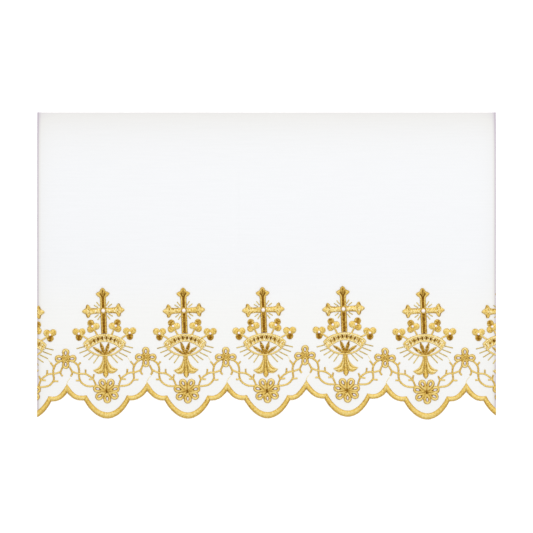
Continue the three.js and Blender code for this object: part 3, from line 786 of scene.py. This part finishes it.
def white_paper():
    # Matte white paper that gives off a little light of its own, so that it stays white round the cloth
    glow = {"Emission Color": (1, 1, 1, 1), "Emission Strength": 0.2}
    look = {"Base Color": linear("#fbfbfb"), "Roughness": 0.9, **glow}
    return finish_named("white_paper_floor", lambda tree: add_node(tree, "BsdfPrincipled", look))


class Needlework:
    """Runs of satin stitch collected as closed shells, and the placing of what is charted for them.

    Each point has a tone from deep (0) to pale (1) gold, and a place on its thread in millimetres.
    """

    def __init__(self, seed, place=at_points):
        self.random = np.random.default_rng(seed)
        self.place = place
        self.points = []
        self.faces = []
        self.tones = []
        self.threads = []
        self.count = 0

    def satin(
        self, rail_a, rail_b, run, base=FACE - RUN_SUNK, across=7, closed=False, sharp=0.55, spread=0.1
    ):
        """One run of satin stitch between two rails that are in place, as a closed shell.

        Along the rails each thread has three rows of points: its groove and two on its crest. Across, q runs
        from rail to rail; the place is the rail's plus (1 - cos(pi q)) / 2 of the way over, and the height is
        the run's height times sin(pi q) to the power `sharp`, less the groove's depth in a groove. Each
        thread ends a little short or long of the rail, and past it by `spread` on the whole. The tone goes
        from rail to middle to rail as the run gives it; a paler middle is a painted highlight on the crown
        with painted shade down the sides. Grooves are painted darker, a painted shade, and threads that run
        up the cloth are painted lighter than those across it, a painted sheen, by the square of their
        direction's upward part.
        """
        height, tones, speckle = run
        threads = bpy.context.scene.altar_cloth_threads
        pitch, ridge = threads.pitch / MM, threads.ridge / MM
        a, b = at_points(rail_a), at_points(rail_b)
        tones = np.broadcast_to(at_points(tones), (len(a), 3))
        along, over = np.gradient((a + b) / 2, axis=0), b - a
        if np.sum(along[:, 0] * over[:, 1] - along[:, 1] * over[:, 0]) < 0:
            a, b, tones = b, a, tones[:, ::-1]
        if closed:
            a, b, tones = (np.concatenate([rows, rows[:1]]) for rows in (a, b, tones))
        reach = max((reach_along(line) for line in ((a + b) / 2, a, b)), key=lambda distances: distances[-1])
        count = max(2, int(round(reach[-1] / pitch)))
        at = ((np.arange(count)[:, None] + (0.0, 0.3, 0.7)) / count).ravel()
        crest = np.tile([0.0, 1.0, 1.0], count)
        thread = np.repeat(np.arange(count), 3)
        if not closed:
            at, crest, thread = np.append(at, 1.0), np.append(crest, 0.0), np.append(thread, count - 1)
        a, b, tones = (at_reach(line, reach, at * reach[-1]) for line in (a, b, tones))
        over = b - a
        width = np.maximum(np.linalg.norm(over, axis=1, keepdims=True), 1e-6)
        over = over / width
        pinch = np.maximum(0.0, LEAST_WIDTH - width) / 2
        r = self.random
        ragged = min(RAGGED_MOST, RAGGED_SHARE * float(width.mean()))
        ends = [(r.normal(0, ragged, count)[thread] * crest - ragged * (1 - crest))[:, None] for _ in (a, b)]
        a, b = a - over * (ends[0] + pinch + spread), b + over * (ends[1] + pinch + spread)
        q = np.linspace(0.0, 1.0, across)
        share = (1 - np.cos(np.pi * q)) / 2
        rise = np.sin(np.pi * q).clip(0.0) ** sharp
        tall = height * (1 + r.normal(0, HEIGHT_VARIES, count)[thread]) - ridge * (1 - crest)
        xy = a[:, None, :] + (b - a)[:, None, :] * share[None, :, None]
        z = base + tall[:, None] * rise[None, :]
        # Painted highlight and shade across the run, from its tones at the rails and in the middle
        tone = np.stack([np.interp(share, [0, 0.5, 1], row) for row in tones])
        # Random speckle for each thread, less painted shade in each groove
        tone = tone + r.normal(0, speckle, (count, across))[thread] - GROOVE_PAINTED_SHADE * (1 - crest)[:, None]
        # Painted sheen: threads that run up the cloth are lighter
        tone = tone + (SHEEN * (over[:, 1] ** 2 - 0.5))[:, None]
        along, up = np.broadcast_to((at * reach[-1])[:, None], z.shape), np.linalg.norm(b - a, axis=1)
        rows = len(at)
        faces = list(grid_faces(rows, across, wrap_rows=closed, wrap_columns=True))
        if not closed:
            faces += [np.arange(across), (rows - 1) * across + np.arange(across)[::-1]]
        self.faces.extend((face + self.count).tolist() for face in faces)
        self.points.append(np.concatenate([xy, z[..., None]], axis=-1).reshape(-1, 3))
        self.tones.append(tone.ravel())
        self.threads.append(np.stack([along, share * up[:, None]], axis=-1).reshape(-1, 2))
        self.count += rows * across

    def line(self, line, width, run, **more):
        """Satin stitch along a smooth line: its rails are the line set off to each side by half the width."""
        curve = self.place(smooth(line, 4 + 2 * len(line)))
        self.satin(side_of(curve, -width / 2), side_of(curve, width / 2), run, **more)

    def disc(self, centre, radius, degrees, run, stretch=1.0, **more):
        """Satin stitch in a disc: half circles for rails, so the stitches run square to the given direction.

        The tone of the middle turns to that of the rims towards the disc's two ends.
        """
        k = np.linspace(0.0, np.pi, 13)
        along, half = -stretch * radius * np.cos(k), radius * np.sin(k)
        rails = (turn(np.stack([along, sign * half], axis=1), degrees) + centre for sign in (1, -1))
        height, (first, core, second), speckle = run
        rim = (first + second) / 2
        middle = rim + (core - rim) * np.sin(k) ** 0.6
        tones = np.stack([np.full(13, first), middle, np.full(13, second)], axis=1)
        self.satin(*map(self.place, rails), (height, tones, speckle), **more)

    def half_table(self, rows, to_point, run, sides=(-1, 1), **more):
        """Satin stitch between two multiples of a half outline, given as distance out and half width."""
        out, half = smooth(rows, 40).T
        self.satin(*(self.place(to_point(out, side * half)) for side in sides), run, **more)

    def buds(self, rows, to_point, run):
        """Satin stitch along straight lines, as wide to each side as the half widths along them.

        A line that starts to the limb's left is stitched again as its mirror image.
        """
        share = np.linspace(0.0, 1.0, 16)
        for out, side, end_out, end_side, halves in rows:
            half = np.interp(share, np.linspace(0, 1, len(halves)), halves)
            for sign in (1, -1) if side > 0 else (1,):
                start, end = at_points([(out, sign * side), (end_out, sign * end_side)])
                line = start + (end - start) * share[:, None]
                rails = (self.place(to_point(*side_of(line, way * half).T)) for way in (-1, 1))
                self.satin(*rails, run)

    def layers(self, outer, inner, rows):
        """Satin stitch between lines at two shares of the way from an outer line to an inner one."""
        for low, high, run, across in rows:
            rails = (self.place(between(outer, inner, share)) for share in (low, high))
            self.satin(*rails, run, across=across)

    def sew(self, name, nodes=(), single=False):
        """The stitches as one piece of gold needlework that stands for the given nodes."""
        piece = new_mesh(name, np.concatenate(self.points), self.faces)
        store(piece.data, "tone", np.concatenate(self.tones).clip(0.0, 1.0))
        corners = np.empty(len(piece.data.loops), np.int32)
        piece.data.loops.foreach_get("vertex_index", corners)
        on_thread = np.concatenate(self.threads).astype(np.float32)[corners]
        piece.data.uv_layers.new(name="Thread").data.foreach_set("uv", on_thread.ravel())
        trim_to_sides(piece)
        sew_on(piece, gold_rayon_thread(single), nodes)


def repeats(kind, placing):
    """Each repeat that has nodes of the kind, with its new needlework and those nodes."""
    for i, lobe in enumerate(LOBES):
        nodes = nodes_of(kind, lobe.name)
        if nodes:
            yield lobe, Needlework(SEEDS[kind] + i, placing(lobe)), nodes


def bezier(points, count):
    """A cubic Bezier curve: its four points weighted by the Bernstein shares."""
    t = np.linspace(0.0, 1.0, count)[:, None]
    p = at_points(points)
    return (1 - t) ** 3 * p[0] + 3 * t * (1 - t) ** 2 * p[1] + 3 * t**2 * (1 - t) * p[2] + t**3 * p[3]


def edging_arcs():
    """The edging's centre lines from left to right, one for each arc, and its width along each."""

    def lobe_arc(lobe):
        line = mirrored(bezier([(0, LOBE_TIP_Y), (LOBE_TIP_PULL, LOBE_TIP_Y), LOBE_SIDE, LOBE_END], 30))
        line = line + np.stack([lobe.x - LOBE_SKEW * line[:, 1], np.full(len(line), lobe.y)], axis=1)
        return line, TIP_WIDTH + (SIDE_WIDTH - TIP_WIDTH) * np.abs(np.linspace(-1.0, 1.0, len(line)))

    def small_arc(cusp, end, sign):
        cusp = at_points(cusp)
        pull, end_pull = (sign * SMALL_CUSP[0], -SMALL_CUSP[1]), (-sign * SMALL_END[0], -SMALL_END[1])
        return bezier([cusp, cusp + pull, end + end_pull, end], 26), np.linspace(CUSP_WIDTH, SIDE_WIDTH, 26)

    arcs = []
    for i, lobe in enumerate(LOBES):
        line, width = lobe_arc(lobe)
        if i > 0:
            arcs.append(small_arc(CUSPS[i - 1], line[0], 1))
        arcs.append((line, width))
        if i < len(CUSPS):
            back, back_width = small_arc(CUSPS[i], line[-1], -1)
            arcs.append((back[::-1], back_width[::-1]))
    return arcs


def cut_at_mitre(line, along, corner, normal, sign):
    """Points past the mitre line of a corner slid back to it along their own direction."""
    past = sign * ((line - corner) @ normal)
    slope = sign * (along @ normal)
    near = np.linalg.norm(line - corner, axis=1) < MITRE_REACH
    slide = np.where((past > 0) & near, past / np.where(np.abs(slope) < MITRE_SLOPE, MITRE_SLOPE, slope), 0.0)
    return line - along * slide[:, None]


def edging_rails(inset=0.0):
    """Rails of each arc of the edging, lower one first, cut along the mitre line where two arcs meet."""
    arcs = edging_arcs()
    rails = []
    for i, (line, width) in enumerate(arcs):
        tangent = directions(line)
        ends = []
        for j, at, sign in ((i - 1, 0, -1), (i + 1, -1, 1)):
            if 0 <= j < len(arcs):
                normal = tangent[at] + directions(arcs[j][0])[-1 if sign < 0 else 0]
                ends.append((line[at].copy(), normal / np.linalg.norm(normal), sign))
        step = np.linspace(4.0, 0.5, 6)[:, None]
        line = np.concatenate([line[0] - tangent[0] * step, line, line[-1] + tangent[-1] * step[::-1]])
        width = np.pad(width, 6, mode="edge")
        along = directions(line)
        pair = []
        for side in (-1, 1):
            rail = side_of(line, side * (width / 2 - inset))
            for corner, normal, sign in ends:
                rail = cut_at_mitre(rail, along, corner, normal, sign)
            pair.append(rail)
        rails.append(pair)
    return rails


def hem_height(x):
    """Height of the cloth's trimmed lower edge at each x, just inside the edging's outer stitches."""
    lower = np.concatenate([pair[0] for pair in edging_rails(inset=TRIM_INSET)])
    lower = lower[np.argsort(lower[:, 0], kind="stable")]
    return np.interp(x, lower[:, 0], lower[:, 1])


def face_height(x, y, slope, pucker):
    """Height of the cloth's face.

    It is level, less a square-law slope at the top edge, less a bell-shaped trough at each crease, plus
    puckers: sines across the cloth that fade away above and below the needlework.
    """
    share = ((y - SLOPE_Y) / (TOP - SLOPE_Y)).clip(0.0, 1.0)
    z = FACE - slope * share**2
    for at, half, top, bottom, depth in CREASES:
        run = (np.minimum(top - y, y - bottom) / ((top - bottom) / 3)).clip(0.0, 1.0)
        off = (x - at - CREASE_LEAN * (y - bottom)) / (CREASE_SOFTNESS * half)
        z -= depth * np.exp(-(off**2)) * run * run * (3 - 2 * run)
    around = np.exp(-(((y - PUCKER_Y) / PUCKER_REACH) ** 2))
    wave = sum(
        part * np.sin(x / across + phase + sway * np.sin(y / up + sway_phase))
        for part, across, phase, sway, up, sway_phase in PUCKER_WAVES
    )
    patches = 0.5 + 0.5 * np.sin(x / PUCKER_PATCH + 0.5)
    return z + pucker * (wave - PUCKER_LEVEL) * around * patches


def edge_spread(extent, spacing):
    """Places from 0 to the extent: close together at both ends, where the rim is rounded, else even."""
    rim = at_points(RIM_STEPS)
    middle = np.linspace(rim[-1], extent - rim[-1], int(round(extent / spacing)))
    return np.concatenate([rim[:-1], middle, (extent - rim[:-1])[::-1]])


def bead_shell(radii, low, rings=9, sides=18):
    """A bead: an ellipsoid on a grid of turns and heights, its poles closed by one point each."""
    up = np.linspace(0.0, np.pi, rings)[1:-1, None]
    around = np.linspace(0.0, 2 * np.pi, sides, endpoint=False)
    x, y = radii[0] * np.sin(up) * np.cos(around), radii[1] * np.sin(up) * np.sin(around)
    z = low + radii[2] * (1 + np.cos(up)) + 0 * around
    body = np.stack([x, y, z], axis=-1).reshape(-1, 3)
    poles = [(0, 0, low + 2 * radii[2]), (0, 0, low)]
    top, bottom = np.full(sides, len(body)), np.full(sides, len(body) + 1)
    k = np.arange(sides)
    after = (k + 1) % sides
    last = (rings - 3) * sides
    faces = grid_faces(rings - 2, sides, wrap_columns=True).tolist()
    faces += np.stack([top, k, after], axis=1).tolist()
    faces += np.stack([bottom, last + after, last + k], axis=1).tolist()
    return np.concatenate([body, poles]), faces


def beads(name, rows, material, nodes=()):
    """One piece of beads, if there are any, from rows of centre, radii, lowest point and turn in degrees."""
    points, faces = [], []
    for centre, radii, low, degrees in rows:
        shell, shell_faces = bead_shell(radii, low)
        shell[:, :2] = turn(shell[:, :2], degrees) + centre
        first = len(points) * len(shell)
        faces += [[corner + first for corner in face] for face in shell_faces]
        points.append(shell)
    if points:
        piece = new_mesh(name, np.concatenate(points), faces)
        trim_to_sides(piece)
        sew_on(piece, material, nodes)


def stones(name, eyes, angles):
    """The clear stones in a flower's eyelets."""
    placed = [(eye, angle) for eye, angle in zip(eyes, angles) if abs(eye[0]) < SIDE]
    beads(name, [(eye, STONE_RADII, FACE + STONE_RISE, angle) for eye, angle in placed], acrylic_stone())


def make_sheet(sheet):
    """The sheet: its face and underside on one grid from the trimmed hem to the top edge, with a rounded rim.

    A column's points run from the hem's height to the top; near the rim both faces bend in by a quarter
    circle's height, r - sqrt(r^2 - (r - d)^2), with d the distance from the rim.
    """
    x = edge_spread(2 * SIDE, SHEET_STEPS[0]) - SIDE
    up = edge_spread(TOP - HEM_MEAN, SHEET_STEPS[1]) / (TOP - HEM_MEAN)
    low = hem_height(x)[:, None]
    gx, gt = np.meshgrid(x, up, indexing="ij")
    gy = low + (TOP - low) * gt
    face = face_height(gx, gy, sheet.slope / MM, sheet.pucker / MM)
    side_gap = np.minimum(gx + SIDE, SIDE - gx)
    inward = np.minimum.reduce([side_gap, gy - low, TOP - gy]).clip(0.0, RIM)
    bend = RIM - np.sqrt(np.maximum(RIM**2 - (RIM - inward) ** 2, 0.0))
    top = np.stack([gx, gy, np.maximum(face - bend, LEAST_FACE)], axis=-1).reshape(-1, 3)
    bottom = np.stack([gx, gy, UNDERSIDE_BEND * bend], axis=-1).reshape(-1, 3)
    upper = grid_faces(*gx.shape)
    count = gx.size
    index = np.arange(count).reshape(gx.shape)
    rim_loop = np.concatenate([index[:, 0], index[-1, 1:], index[-2::-1, -1], index[0, -2:0:-1]])
    after = np.roll(rim_loop, -1)
    wall = np.stack([rim_loop, rim_loop + count, after + count, after], axis=1)
    faces = np.concatenate([upper, upper[:, ::-1] + count, wall]).tolist()
    piece = new_mesh("cloth_sheet", np.concatenate([top, bottom]), faces)
    # Painted faint shadow at the cut sides, and a wider painted shade that deepens towards
    # the sides and the top
    edge = np.exp(-((side_gap / SIDE_SHADE) ** 2)) * np.where(gx < 0, SIDE_SHADE_LEFT, SIDE_SHADE_RIGHT)
    edge += SIDE_WIDE_SHADE * np.exp(-side_gap / SIDE_WIDE_SHADE_REACH) + TOP_SHADE * np.exp(-(TOP - gy) / TOP_SHADE_REACH)
    store(piece.data, "edge", np.tile(edge.ravel().clip(0.0, 1.0), 2))
    # The gold throws a little warm light on the cloth about it
    store(piece.data, "warmth", np.tile(1 / (1 + np.exp((gy.ravel() - WARM_Y) / WARM_FADE)), 2))
    sew_on(piece, woven_white_polyester(), ["cloth"])


def sheet_area():
    """Flat area of the cut in square metres: between the hem and the top edge."""
    x = np.linspace(-SIDE, SIDE, 2000)
    return float(np.trapz(TOP - hem_height(x), x)) * MM * MM


class ALTARCLOTH_OT_sheet(bpy.types.Operator):
    """Makes the woven sheet, trimmed to the scallops"""

    bl_idname = "altar_cloth.sheet"
    bl_label = "Cloth Sheet"

    def execute(self, context):
        make_sheet(context.scene.altar_cloth_sheet)
        return {"FINISHED"}


class ALTARCLOTH_OT_edging(bpy.types.Operator):
    """Makes the satin-stitched edging along the scallops"""

    bl_idname = "altar_cloth.edging"
    bl_label = "Scalloped Edging"

    def execute(self, context):
        work = Needlework(SEEDS["edging"])
        for lower, upper in edging_rails():
            keep = np.maximum(np.abs(lower[:, 0]), np.abs(upper[:, 0])) < SIDE + EDGING_PAST_SIDE
            if keep.sum() > 2:
                work.satin(
                    lower[keep], upper[keep], EDGING_RUN, base=EDGING_BASE, across=9, sharp=0.4, spread=0.0
                )
        work.sew("edging_satin", ["scallop_edging"])
        return {"FINISHED"}


class ALTARCLOTH_OT_crosses(bpy.types.Operator):
    """Makes the budded crosses: two level arms, and a head and a bar with a groove down each"""

    bl_idname = "altar_cloth.crosses"
    bl_label = "Crosses"

    def execute(self, context):
        for lobe, work, nodes in repeats("cross", lifted):
            for x in (1, -1):
                work.half_table(ARM, limb(x, 0), ARM_RUN, across=9)
                work.buds(ARM_BUDS, limb(x, 0), ARM_BUD_RUN)
                work.buds(ARM_SEAMS, limb(x, 0), ARM_SEAM_RUN)
            self.post(work, HEAD, limb(0, 1), HEAD_SIDE_RUNS)
            self.post(work, BAR, limb(0, -1), BAR_SIDE_RUNS)
            work.buds(HEAD_BUDS, limb(0, 1), HEAD_BUD_RUN)
            work.buds(HEAD_SEAMS, limb(0, 1), HEAD_SEAM_RUN)
            ring = heading(np.linspace(0.0, 2 * np.pi, 28, endpoint=False))
            rails = (work.place(radius * ring + (0, CROSS_Y)) for radius in CROSS_RING)
            work.satin(*rails, RING_RUN, closed=True, across=6)
            work.sew(f"cross_{lobe.name}_satin", nodes)
        return {"FINISHED"}

    def post(self, work, rows, to_point, side_runs):
        """A dark run with a lighter one along each side; the groove between shows it."""
        work.half_table(rows, to_point, GROOVE_RUN)
        for sides, run in zip(((-1, -POST_GROOVE), (POST_GROOVE, 1)), side_runs):
            work.half_table(rows, to_point, run, sides=sides, spread=0.0)


class ALTARCLOTH_OT_arches(bpy.types.Operator):
    """Makes the arches with their lines, dots, leaves, stems and trefoils"""

    bl_idname = "altar_cloth.arches"
    bl_label = "Arches"

    def execute(self, context):
        for lobe, work, nodes in repeats("arch", arch_place):
            outer, inner = (smooth(mirrored(half), 80) for half in (ARCH_OUTER, ARCH_INNER))
            work.layers(outer, inner, ARCH_RUNS)
            self.dots(work, outer, inner)
            work.line(mirrored(LOWER_LINE), LINE_WIDTH, LOWER_LINE_RUN)
            for leaf in LEAVES:
                self.leaf(work, *leaf)
            for sign, centre, row in trefoils(lobe):
                self.trefoil(work, sign, centre, row)
            work.sew(f"arch_{lobe.name}_satin", nodes)
        return {"FINISHED"}

    def dots(self, work, outer, inner):
        """Drops, beads and net in the band, at even steps along it from its middle."""
        for k in np.arange(-5, 5) + 0.5:
            for share, shift, half_width, stretch, tone in ARCH_NET if abs(k) > 4 else ARCH_DOT:
                middle = between(outer, inner, share)
                reach = reach_along(middle)
                at = reach[-1] / 2 + ARCH_PITCH * (k + shift)
                here, ahead = at_reach(middle, reach, [at, at + 0.5])
                across = np.degrees(np.arctan2(*(ahead - here)[::-1])) + 90
                # The drops grow faint towards the arch's ends
                fade = ARCH_FADE * max(abs(k) - 1.5, 0.0) ** 2 if tone < 0.5 else 0.0
                run = (ARCH_DOT_HEIGHT, (tone + fade,) * 3, 0.05)
                work.disc(here, half_width, across, run, stretch=stretch, across=5)

    def leaf(self, work, x, y, width):
        """A leaf from the common root to its tip, widest at two thirds of its length."""
        root = at_points(LEAF_ROOT)
        along = (x, y) - root
        left = np.array([-along[1], along[0]]) / np.linalg.norm(along)
        share = np.linspace(0.02, 1.0, 16)
        belly = width / 2 * np.interp(share, [0, 0.35, 0.65, 0.9, 1], [0.25, 0.8, 1, 0.5, 0.08])
        line = root + share[:, None] * along
        work.satin(*(work.place(line + sign * belly[:, None] * left) for sign in (-1, 1)), LEAF_RUN)

    def trefoil(self, work, sign, centre, row):
        """A stem and three round lobes about its end, one of them with a darker core, a painted shade."""
        _, _, stem_x, stem_y, angles, dark, core = row
        work.line([(sign * stem_x, stem_y), centre], LINE_WIDTH, STEM_RUN)
        height, tones, speckle = TREFOIL_RUN
        for k, angle in enumerate(angles):
            angle = angle if sign > 0 else 180 - angle
            # The dark lobe is painted shade: its core tone stands in its middle
            run = (height, (tones[0], core, tones[0]) if k == dark else tones, speckle)
            work.disc(centre + TREFOIL_OUT * heading(np.radians(angle)), TREFOIL_RADIUS, angle, run)


class ALTARCLOTH_OT_feet(bpy.types.Operator):
    """Makes the three-lobed foot under each arch"""

    bl_idname = "altar_cloth.feet"
    bl_label = "Fleur Feet"

    def execute(self, context):
        half, top, bottom = FOOT_GAP
        for lobe, work, nodes in repeats("foot", neck_lifted):
            work.half_table(FOOT_DROP, lambda up, side: np.stack([side, up], axis=-1), DROP_RUN)
            for sign in (-1, 1):
                outer, inner = (smooth(line, 60) * (sign, 1) for line in (FOOT_OUTER, FOOT_INNER))
                work.layers(outer, inner, FOOT_RUNS)
                spine = np.stack([np.full(60, -half * sign), np.linspace(top, bottom, 60)], axis=1)
                work.satin(work.place(spine), work.place(spaced(inner[:34], 60)), FOOT_GAP_RUN)
            work.sew(f"foot_{lobe.name}_satin", nodes)
        return {"FINISHED"}


def petal_outline(reach, radius):
    """A looped petal's outline in its own frame, and how far out its round end's centre is.

    The end is an arc of the radius, and straight sides that touch it draw in to a point near the centre.
    """
    out = reach - radius
    half_turn = np.pi - np.arccos(radius / (out - PETAL_ROOT))
    end = radius * heading(np.linspace(half_turn, -half_turn, 30)) + (out, 0)
    root = np.array([[PETAL_ROOT, 0.0]])
    return spaced(np.concatenate([root, end, root]), 49)[:-1], out


def petal(work, centre, angle, reach, radius):
    """Satin stitch from a petal's outline in to its eyelet, darker near the flower's centre.

    The eyelet is an ellipse: along each direction from its centre its rim lies 1 / |direction / radii| away.
    Its centre is given back, on the cloth.
    """
    outline, out = petal_outline(reach, radius)
    middle = np.array([out - EYE_BACK, 0.0])
    from_eye = outline - middle
    direction = from_eye / np.linalg.norm(from_eye, axis=1, keepdims=True)
    eye = direction / np.linalg.norm(direction / EYELET, axis=1, keepdims=True) + middle
    near = (1 - (outline[:, 0] - PETAL_ROOT) / (out - PETAL_ROOT)).clip(0.0, 1.0)
    height, tones, speckle = PETAL_RUN
    run = (height, tones - near[:, None] * PETAL_DARKER, speckle)
    rails = (work.place(turn(line, angle) + centre) for line in (outline, eye))
    work.satin(*rails, run, closed=True, across=6)
    return work.place(turn([middle], angle) + centre)[0]


def flower(work, spec, petals, core_run):
    """A flower: its ground, its petals and its boss. Gives the eyelets' centres."""
    x, y, radius, boss = spec
    work.disc((x, y), petals[0][1] - radius - GROUND_INSET, 90, GROUND_RUN)
    eyes = [petal(work, (x, y), angle, reach, radius) for angle, reach in petals]
    for angle, reach in petals:
        throat = turn([(reach - radius - EYE_BACK - THROAT_IN, 0)], angle)[0] + (x, y)
        work.disc(throat, THROAT_RADIUS, angle, THROAT_RUN)
    work.disc((x, y), boss, 40, BOSS_RUN)
    work.disc((x, y + CORE_UP), CORE_SHARE * boss, 90, core_run, stretch=CORE_STRETCH)
    return eyes


class ALTARCLOTH_OT_rosettes(bpy.types.Operator):
    """Makes the seven-petalled rosettes in the scallops, and their stones"""

    bl_idname = "altar_cloth.rosettes"
    bl_label = "Rosettes"

    def execute(self, context):
        x, y, radius, boss = ROSETTE
        for lobe, work, nodes in repeats("rosette", in_lobe):
            spec = (x, y - lobe.rosette_drop, radius, boss)
            eyes = flower(work, spec, ROSETTE_PETALS, ROSETTE_CORE_RUN)
            work.sew(f"rosette_{lobe.name}_satin", nodes)
            stones(f"rosette_{lobe.name}_stones", eyes, [angle + lobe.lean for angle, _ in ROSETTE_PETALS])
        return {"FINISHED"}


class ALTARCLOTH_OT_links(bpy.types.Operator):
    """Makes the flower over each cusp with its vines and twigs, and its stones"""

    bl_idname = "altar_cloth.links"
    bl_label = "Vine Links"

    def execute(self, context):
        for i, cusp in enumerate(CUSPS):
            name = f"link_{i + 1}"
            work = Needlework(SEEDS["link"] + i, in_link(cusp, LOBES[i], LOBES[i + 1]))
            for width, points in VINES:
                work.line(points, width, VINE_RUN, across=6, spread=0.16)
            eyes = flower(work, FLOWER, FLOWER_PETALS, FLOWER_CORE_RUN)
            work.sew(f"{name}_satin", [name])
            stones(f"{name}_stones", eyes, [angle for angle, _ in FLOWER_PETALS])
        return {"FINISHED"}


class ALTARCLOTH_OT_rays(bpy.types.Operator):
    """Makes the single long stitches about the crosses and arches, and the jump threads over the cusps"""

    bl_idname = "altar_cloth.rays"
    bl_label = "Rays"

    def execute(self, context):
        angles = np.radians([angle + 90 * k for k in range(4) for angle in CROSS_RAY_ANGLES])
        near, far = (heading(angles) * reach + (0, CROSS_Y) for reach in CROSS_RAY_SPAN)
        rays = np.concatenate([np.concatenate([near, far], axis=1), at_points(ARCH_RAYS)])
        for i, lobe in enumerate(LOBES):
            work = Needlework(RAY_SEED + i, lifted(lobe))
            for start, end in zip(work.place(rays[:, :2]), work.place(rays[:, 2:])):
                if min(abs(start[0]), abs(end[0])) < SIDE:
                    self.ray(work, start, end)
            if work.count:
                work.sew(f"rays_{lobe.name}", single=True)
        work = Needlework(JUMP_SEED)
        jumps = [smooth(JUMP_THREAD, 24) + cusp for cusp in CUSPS]
        jumps += [lifted(lobe)(smooth(RAY_JUMP, 16)) for lobe in LOBES[:-1]]
        for line in jumps:
            work.satin(side_of(line, -JUMP_HALF), side_of(line, JUMP_HALF), JUMP_RUN, across=5)
        work.sew("jump_threads")
        return {"FINISHED"}

    def ray(self, work, start, end):
        """One long stitch, its rails set square to it across its two ends."""
        along = (end - start) / np.linalg.norm(end - start)
        left = np.array([-along[1], along[0]]) * RAY_HALF
        work.satin(*([p - left, p, p + left] for p in (start, end)), RAY_RUN, across=9, sharp=0.3)


class ALTARCLOTH_OT_pearls(bpy.types.Operator):
    """Sews a pearl on each cross and a small bead in each trefoil"""

    bl_idname = "altar_cloth.pearls"
    bl_label = "Pearls and Beads"

    def execute(self, context):
        settings = context.scene.altar_cloth_beads
        pearl, bead = settings.pearl_radius / MM, settings.bead_radius / MM
        for lobe in LOBES:
            nodes = nodes_of("pearl", lobe.name)
            if nodes:
                centre = lifted(lobe)([(0, CROSS_Y)])[0]
                row = (centre, (pearl, pearl, PEARL_HALF), FACE + PEARL_RISE, 0)
                beads(f"pearl_{lobe.name}_bead", [row], pearl_lacquer(), nodes)
            centres = arch_place(lobe)([centre for _, centre, _ in trefoils(lobe)])
            inside = centres[np.abs(centres[:, 0]) < SIDE - bead]
            rows = [(centre, (bead, bead, BEAD_HALF), FACE + BEAD_RISE, 0) for centre in inside]
            beads(f"trefoil_beads_{lobe.name}", rows, pearl_lacquer())
        return {"FINISHED"}


class ALTARCLOTH_OT_stage(bpy.types.Operator):
    """Sets the pale floor, the soft lights and the camera over the cloth"""

    bl_idname = "altar_cloth.stage"
    bl_label = "Stage"

    def execute(self, context):
        scene = context.scene
        settings = scene.altar_cloth_stage
        corners = [(x * FLOOR_HALF, y * FLOOR_HALF, FLOOR_Z) for x, y in ((-1, -1), (1, -1), (1, 1), (-1, 1))]
        floor = new_mesh("floor", corners, [(0, 1, 2, 3)])
        floor.data.materials.append(white_paper())
        world = bpy.data.worlds.new("soft_white")
        world.use_nodes = True
        background = world.node_tree.nodes["Background"].inputs
        background["Color"].default_value = (1, 1, 1, 1)
        background["Strength"].default_value = settings.fill
        scene.world = world
        light = bpy.data.lights.new("soft_box", "AREA")
        light.shape = "RECTANGLE"
        light.size, light.size_y = SOFT_BOX
        light.energy = settings.key
        lamp = bpy.data.objects.new("soft_box", light)
        lamp.location = SOFT_BOX_PLACE
        lamp.rotation_euler = (Vector((0, 0, 0)) - lamp.location).to_track_quat("-Z", "Y").to_euler()
        scene.collection.objects.link(lamp)
        camera_data = bpy.data.cameras.new("overhead")
        camera_data.lens = settings.lens
        camera_data.sensor_width = SENSOR
        camera = bpy.data.objects.new("overhead", camera_data)
        height = settings.view_width * settings.lens / SENSOR
        camera.location = (CAMERA_X, CAMERA_Y, height + FACE * MM)
        scene.collection.objects.link(camera)
        scene.camera = camera
        scene.view_settings.view_transform = "Standard"
        return {"FINISHED"}


class ALTARCLOTH_PT_panel(bpy.types.Panel):
    """Lists the cloth's pieces and their settings"""

    bl_idname = "ALTARCLOTH_PT_panel"
    bl_label = "Altar Cloth"
    bl_space_type = "VIEW_3D"
    bl_region_type = "UI"
    bl_category = "Altar Cloth"

    def draw(self, context):
        layout = self.layout
        for group in SETTINGS:
            box = layout.box()
            settings = getattr(context.scene, group)
            for name in settings.__annotations__:
                box.prop(settings, name)
        for operator in OPERATORS:
            layout.operator(operator.bl_idname)


SETTINGS = {
    "altar_cloth_sheet": SheetSettings,
    "altar_cloth_threads": ThreadSettings,
    "altar_cloth_beads": BeadSettings,
    "altar_cloth_stage": StageSettings,
}
OPERATORS = (
    ALTARCLOTH_OT_sheet,
    ALTARCLOTH_OT_edging,
    ALTARCLOTH_OT_crosses,
    ALTARCLOTH_OT_arches,
    ALTARCLOTH_OT_feet,
    ALTARCLOTH_OT_rosettes,
    ALTARCLOTH_OT_links,
    ALTARCLOTH_OT_rays,
    ALTARCLOTH_OT_pearls,
    ALTARCLOTH_OT_stage,
)


def register():
    for group in SETTINGS.values():
        bpy.utils.register_class(group)
    for operator in OPERATORS:
        bpy.utils.register_class(operator)
    bpy.utils.register_class(ALTARCLOTH_PT_panel)
    for name, group in SETTINGS.items():
        setattr(bpy.types.Scene, name, PointerProperty(type=group))


def unregister():
    for name in SETTINGS:
        delattr(bpy.types.Scene, name)
    bpy.utils.unregister_class(ALTARCLOTH_PT_panel)
    for operator in reversed(OPERATORS):
        bpy.utils.unregister_class(operator)
    for group in SETTINGS.values():
        bpy.utils.unregister_class(group)


def declare_sheet():
    """Works out the sheet's flat area between the hem and the top edge; nothing uses it."""
    sheet_area()


def main():
    register()
    for operator in OPERATORS:
        group, name = operator.bl_idname.split(".")
        getattr(getattr(bpy.ops, group), name)()
    declare_sheet()


if __name__ == "__main__":
    main()
